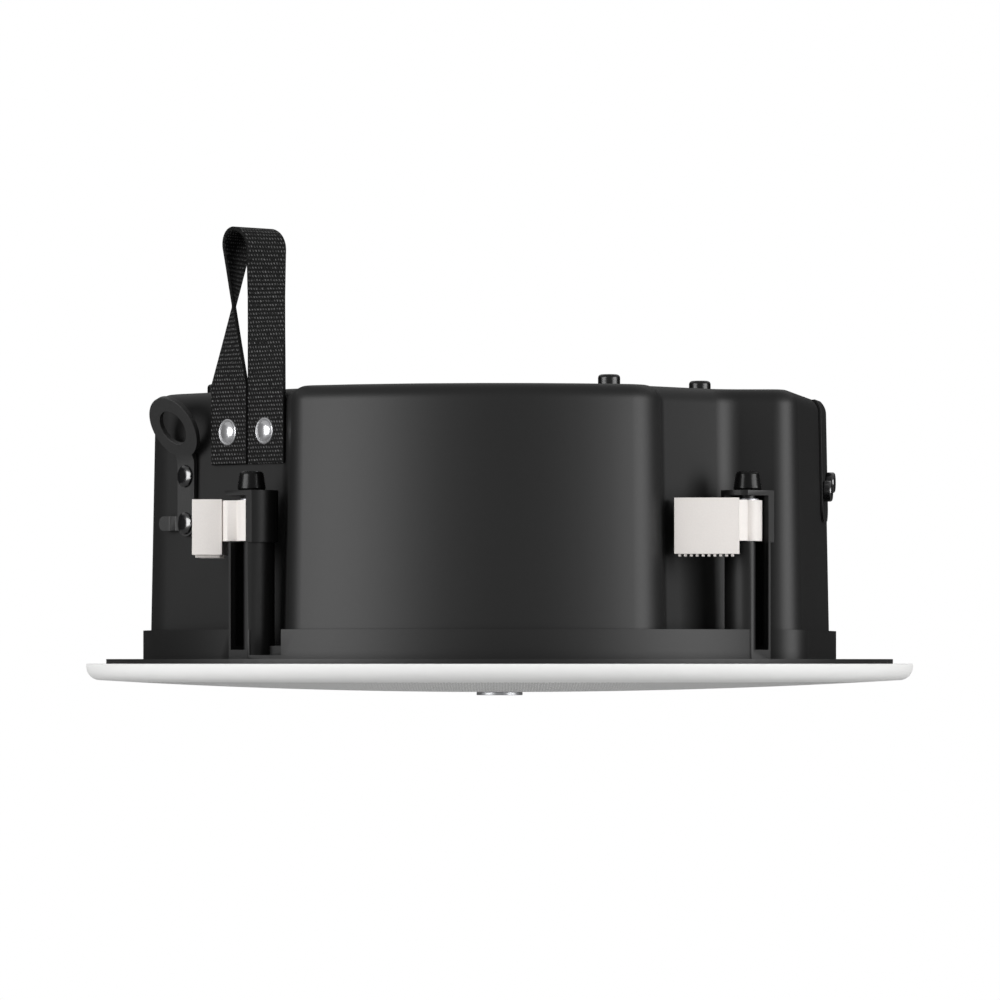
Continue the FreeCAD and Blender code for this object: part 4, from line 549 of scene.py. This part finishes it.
class SPEAKER_OT_clamps(bpy.types.Operator):
    """Dress the clamp heads, caps, arms, screws and nuts"""
    bl_idname = "speaker.clamps"
    bl_label = "Clamps"

    def execute(self, context):
        sizes = settings().hardware
        dressed("clamp_heads", "clamp_head_mouldings", "clamp", sizes.clamp_edge)
        dressed("clamp_caps", "clamp_cap_mouldings", "cap", sizes.cap_edge, 5)
        for index in CLAMPS:
            dressed(f"clamp_dog_{index}", f"clamp_arm_{index}", "dog", sizes.clamp_edge)
            dressed(f"clamp_screw_{index}", f"clamp_rod_{index}", "oxide", sizes.small_edge)
            dressed(f"clamp_nut_{index}", f"clamp_sleeve_{index}", "sleeve", sizes.small_edge)
        return {"FINISHED"}


def strap_length(sizes):
    """Length of the webbing before it is bent, from foot to foot."""
    legs = strap_leg(sizes, -1).length + strap_leg(sizes, 1).length
    return 2 * (sizes.release - sizes.foot) + legs + math.pi * sizes.loop


def loop_point(sizes, across, up):
    """Point of the loop from its centre, as distances outwards, along the wall and up."""
    return Vector((sizes.loop_distance - across * math.sin(sizes.loop_turn),
                   sizes.middle + across * math.cos(sizes.loop_turn), sizes.crest + up))


def leg_start(sizes, side):
    """Where a leg leaves the can, as distances outwards, along the wall and up."""
    return Vector((sizes.foot_distance, sizes.middle + side * sizes.pitch / 2, sizes.release))


def strap_leg(sizes, side):
    """Straight line from where a leg leaves the can to the end of the loop."""
    return loop_point(sizes, side * sizes.loop, 0) - leg_start(sizes, side)


def strap_station(sizes, travel):
    """Middle of the webbing at a distance from its first foot, and the line across it, which is shorter
    where the taut band is half turned."""
    rise = sizes.release - sizes.foot
    total = strap_length(sizes)
    side = -1 if travel < total / 2 else 1
    leg = strap_leg(sizes, side).length
    near = min(travel, total - travel)
    if near < rise + leg:
        spot = leg_start(sizes, side) + strap_leg(sizes, side) * max(0.0, (near - rise) / leg)
        if near < rise:
            spot.z = sizes.foot + near
    else:
        angle = (near - rise - leg) / sizes.loop
        spot = loop_point(sizes, side * sizes.loop * math.cos(angle), sizes.loop * math.sin(angle))
    turned = min(1.0, max(0.0, (near - rise) / (leg + sizes.loop * math.pi / 2)))
    loop_out = FACET_OUT * math.cos(sizes.loop_turn) + FACET_ALONG * math.sin(sizes.loop_turn)
    across = FACET_ALONG * (1 - turned) * -side + loop_out * turned
    return FACET_OUT * spot.x + FACET_ALONG * spot.y + UP * spot.z, across


class SPEAKER_OT_strap(bpy.types.Operator):
    """Make the webbing carry strap: a flat band, bent over into a loop with a half turn"""
    bl_idname = "speaker.strap"
    bl_label = "Carry strap"

    def execute(self, context):
        sizes = settings().strap
        total = strap_length(sizes)
        # A unit square of cloth, whose y runs along the webbing, is bent station by station.
        band = bmesh.new()
        cloth = band.loops.layers.uv.new("cloth")
        bmesh.ops.create_grid(band, x_segments=10, y_segments=220, size=0.5, calc_uvs=True)
        for face in band.faces:
            for loop in face.loops:
                loop[cloth].uv = (loop.vert.co.x + 0.5, loop.vert.co.y + 0.5)
        for point in band.verts:
            middle, across = strap_station(sizes, (point.co.y + 0.5) * total)
            point.co = middle + across * (point.co.x * sizes.width)
        bmesh.ops.recalc_face_normals(band, faces=band.faces)
        strap = piece_from(band, "carry_strap_webbing", "webbing", body_holding("carry_strap"),
                           ["carry_strap"], angle=60)
        body = strap.modifiers.new("webbing_thickness", "SOLIDIFY")
        body.thickness = sizes.thickness
        body.offset = 0
        edge = strap.modifiers.new("soft_edges", "BEVEL")
        edge.width = sizes.thickness * 0.3
        edge.segments = 2
        edge.limit_method = "ANGLE"
        edge.angle_limit = math.radians(60)
        return {"FINISHED"}


# A rivet from its middle outwards, as shares of its radius and heights in millimetres: a flat-topped crown, a
# groove and a rolled rim.
RIVET_OUTLINE = ((0.0, 1.3), (0.26, 1.3), (0.3, 1.26), (0.45, 1.17), (0.6, 0.95), (0.72, 0.62), (0.78, 0.4),
                 (0.82, 0.4), (0.87, 0.56), (0.93, 0.6), (0.98, 0.46), (1.0, 0.22), (1.0, 0.0))


class SPEAKER_OT_hardware(bpy.types.Operator):
    """Make the domed rivets and dress the bracket and the pan-head screws"""
    bl_idname = "speaker.hardware"
    bl_label = "Hardware"

    def execute(self, context):
        sizes, strap = settings().hardware, settings().strap
        radius = sizes.rivet_radius
        profile = [(share * radius, height * MM) for share, height in RIVET_OUTLINE]
        face = strap.foot_distance + strap.thickness / 2
        both = bmesh.new()
        for side in (-1, 1):
            spot = (FACET_OUT * face + FACET_ALONG * (strap.middle + side * strap.pitch / 2)
                    + UP * sizes.rivet_height)
            turn = Matrix.Translation(spot) @ FACET_OUT.to_track_quat("Z", "Y").to_matrix().to_4x4()
            head = lathed(profile, 48, turn)
            mesh = bpy.data.meshes.new("rivet_head")
            head.to_mesh(mesh)
            head.free()
            both.from_mesh(mesh)
            bpy.data.meshes.remove(mesh)
        piece_from(both, "strap_rivet_heads", "nickel", body_holding("strap_rivets"), ["strap_rivets"],
                   angle=25)
        dressed("safety_bracket", "safety_bracket_plate", "bracket", sizes.small_edge)
        dressed("safety_bracket_screws", "bracket_pan_heads", "button", sizes.small_edge * 2)
        dressed("terminal_cover_screws", "cover_pan_heads", "button", sizes.small_edge * 2)
        return {"FINISHED"}


class SPEAKER_OT_inner_parts(bpy.types.Operator):
    """Give the parts inside the speaker their finishes"""
    bl_idname = "speaker.inner_parts"
    bl_label = "Inner parts"

    def execute(self, context):
        for node, name in INNER_FINISHES.items():
            mesh = frame["nodes"][node].data
            mesh.materials.clear()
            mesh.materials.append(finish_named(name))
        return {"FINISHED"}


def seen_white(tree, level):
    """Strength that is 1 for camera, glossy and transmission rays and the given level for the others."""
    path = add(tree, "ShaderNodeLightPath")
    most = add(tree, "ShaderNodeMath", {"operation": "MAXIMUM"},
               links={0: path.outputs["Is Camera Ray"], 1: path.outputs["Is Glossy Ray"]})
    most = add(tree, "ShaderNodeMath", {"operation": "MAXIMUM"},
               links={0: most.outputs["Value"], 1: path.outputs["Is Transmission Ray"]})
    strength = add(tree, "ShaderNodeMapRange", values={"To Min": level, "To Max": 1.0},
                   links={"Value": most.outputs["Value"]})
    return strength.outputs["Result"]


def studio_room(sizes):
    """A white world that lights matte surfaces only a little."""
    world = bpy.data.worlds.new("studio")
    bpy.context.scene.world = world
    world.use_nodes = True
    tree = world.node_tree
    tree.nodes.clear()
    back = add(tree, "ShaderNodeBackground", values={"Color": (1, 1, 1, 1)},
               links={"Strength": seen_white(tree, sizes.room_light)})
    add(tree, "ShaderNodeOutputWorld", links={"Surface": back.outputs["Background"]})


def studio_paper(shell, name, finish, code):
    """A sheet of matte studio paper in the given shade, which isn't part of the speaker."""
    mesh = bpy.data.meshes.new(name)
    shell.to_mesh(mesh)
    shell.free()
    mesh.materials.append(textured(finish, linear(code), 0.9, 1.5, mottle=0.01, relief=0.02, specular=0.1))
    sheet = bpy.data.objects.new(name, mesh)
    bpy.context.scene.collection.objects.link(sheet)
    return sheet


def studio_floor(sizes):
    """A round pale floor that lights the grille from below."""
    shell = bmesh.new()
    bmesh.ops.create_circle(shell, cap_ends=True, segments=96, radius=sizes.floor_radius)
    bmesh.ops.translate(shell, vec=(0, 0, sizes.floor_height), verts=shell.verts)
    studio_paper(shell, "studio_floor", "matte_studio_paper", "#cccccc")


def studio_flag(sizes):
    """A dark grey paper screen round the back and the sides that only reflections show."""
    screen = bmesh.new()
    bmesh.ops.create_cone(screen, segments=72, radius1=sizes.flag_radius, radius2=sizes.flag_radius,
                          depth=sizes.flag_height)
    open_before = -sizes.flag_radius * 0.1
    front = [face for face in screen.faces if face.calc_center_median().y < open_before]
    bmesh.ops.delete(screen, geom=front, context="FACES")
    flag = studio_paper(screen, "studio_flag", "dark_studio_paper", "#3a3a3a")
    flag.visible_camera = flag.visible_diffuse = flag.visible_transmission = flag.visible_shadow = False


def softbox(name, azimuth, rise, power, sizes):
    """One softbox at a direction and height, turned to the speaker."""
    data = bpy.data.lights.new(name, "AREA")
    data.shape = "RECTANGLE"
    data.size = sizes.softbox_width
    data.size_y = sizes.softbox_height
    data.energy = power
    lamp = bpy.data.objects.new(name, data)
    lamp.location = Vector((math.sin(azimuth), -math.cos(azimuth), 0)) * sizes.softbox_distance + UP * rise
    aim = UP * sizes.aim_height - lamp.location
    lamp.rotation_euler = aim.to_track_quat("-Z", "Y").to_euler()
    bpy.context.scene.collection.objects.link(lamp)
    return lamp


def photo_camera(sizes):
    """A long lens at about the height of the flange, so that the flange is seen edge on."""
    data = bpy.data.cameras.new("photo_camera")
    data.lens = sizes.lens
    data.sensor_width = 36
    data.shift_x = sizes.shift_x
    data.shift_y = sizes.shift_y
    data.clip_end = 50
    camera = bpy.data.objects.new("photo_camera", data)
    camera.location = (0, -sizes.camera_distance, sizes.camera_height)
    camera.rotation_euler = (math.pi / 2, 0, 0)
    bpy.context.scene.collection.objects.link(camera)
    bpy.context.scene.camera = camera


class SPEAKER_OT_stage(bpy.types.Operator):
    """Set the camera, the pale floor and the soft lights"""
    bl_idname = "speaker.stage"
    bl_label = "Stage"

    def execute(self, context):
        sizes = settings().stage
        context.scene.view_settings.view_transform = "Standard"
        studio_room(sizes)
        studio_floor(sizes)
        studio_flag(sizes)
        # Each softbox is two lamps in one direction: one is seen only in reflections, the other only lights
        # matte surfaces.
        for azimuth in (sizes.softbox_left, sizes.softbox_right):
            gleam = softbox("softbox_gleam", azimuth, sizes.gleam_rise, sizes.softbox_power, sizes)
            gleam.visible_diffuse = False
            fill = softbox("softbox_fill", azimuth, sizes.fill_rise, sizes.fill_power, sizes)
            fill.visible_glossy = False
        photo_camera(sizes)
        return {"FINISHED"}


class SpeakerSettings(bpy.types.PropertyGroup):
    """Everything about the speaker that a user would change."""
    grille: PointerProperty(type=SpeakerGrilleSizes)
    strap: PointerProperty(type=SpeakerStrapSizes)
    hardware: PointerProperty(type=SpeakerHardwareSizes)
    colours: PointerProperty(type=SpeakerColours)
    stage: PointerProperty(type=SpeakerStageSizes)


class SPEAKER_PT_panel(bpy.types.Panel):
    """Lists the speaker's operators"""
    bl_idname = "SPEAKER_PT_panel"
    bl_label = "Ceiling speaker"
    bl_space_type = "VIEW_3D"
    bl_region_type = "UI"
    bl_category = "Speaker"

    def draw(self, context):
        for operator in OPERATORS:
            self.layout.operator(operator.bl_idname)


OPERATORS = (SPEAKER_OT_housing, SPEAKER_OT_grille, SPEAKER_OT_clamps, SPEAKER_OT_strap, SPEAKER_OT_hardware,
             SPEAKER_OT_inner_parts, SPEAKER_OT_stage)
GROUPS = (SpeakerGrilleSizes, SpeakerStrapSizes, SpeakerHardwareSizes, SpeakerColours, SpeakerStageSizes,
          SpeakerSettings)


def register():
    for group in GROUPS:
        bpy.utils.register_class(group)
    bpy.types.Scene.ceiling_speaker = PointerProperty(type=SpeakerSettings)
    for operator in OPERATORS:
        bpy.utils.register_class(operator)
    bpy.utils.register_class(SPEAKER_PT_panel)


def unregister():
    bpy.utils.unregister_class(SPEAKER_PT_panel)
    for operator in reversed(OPERATORS):
        bpy.utils.unregister_class(operator)
    del bpy.types.Scene.ceiling_speaker
    for group in reversed(GROUPS):
        bpy.utils.unregister_class(group)


def main():
    register()
    bpy.ops.speaker.housing()
    bpy.ops.speaker.grille()
    bpy.ops.speaker.clamps()
    bpy.ops.speaker.strap()
    bpy.ops.speaker.hardware()
    bpy.ops.speaker.inner_parts()
    bpy.ops.speaker.stage()


if __name__ == "__main__":
    main()
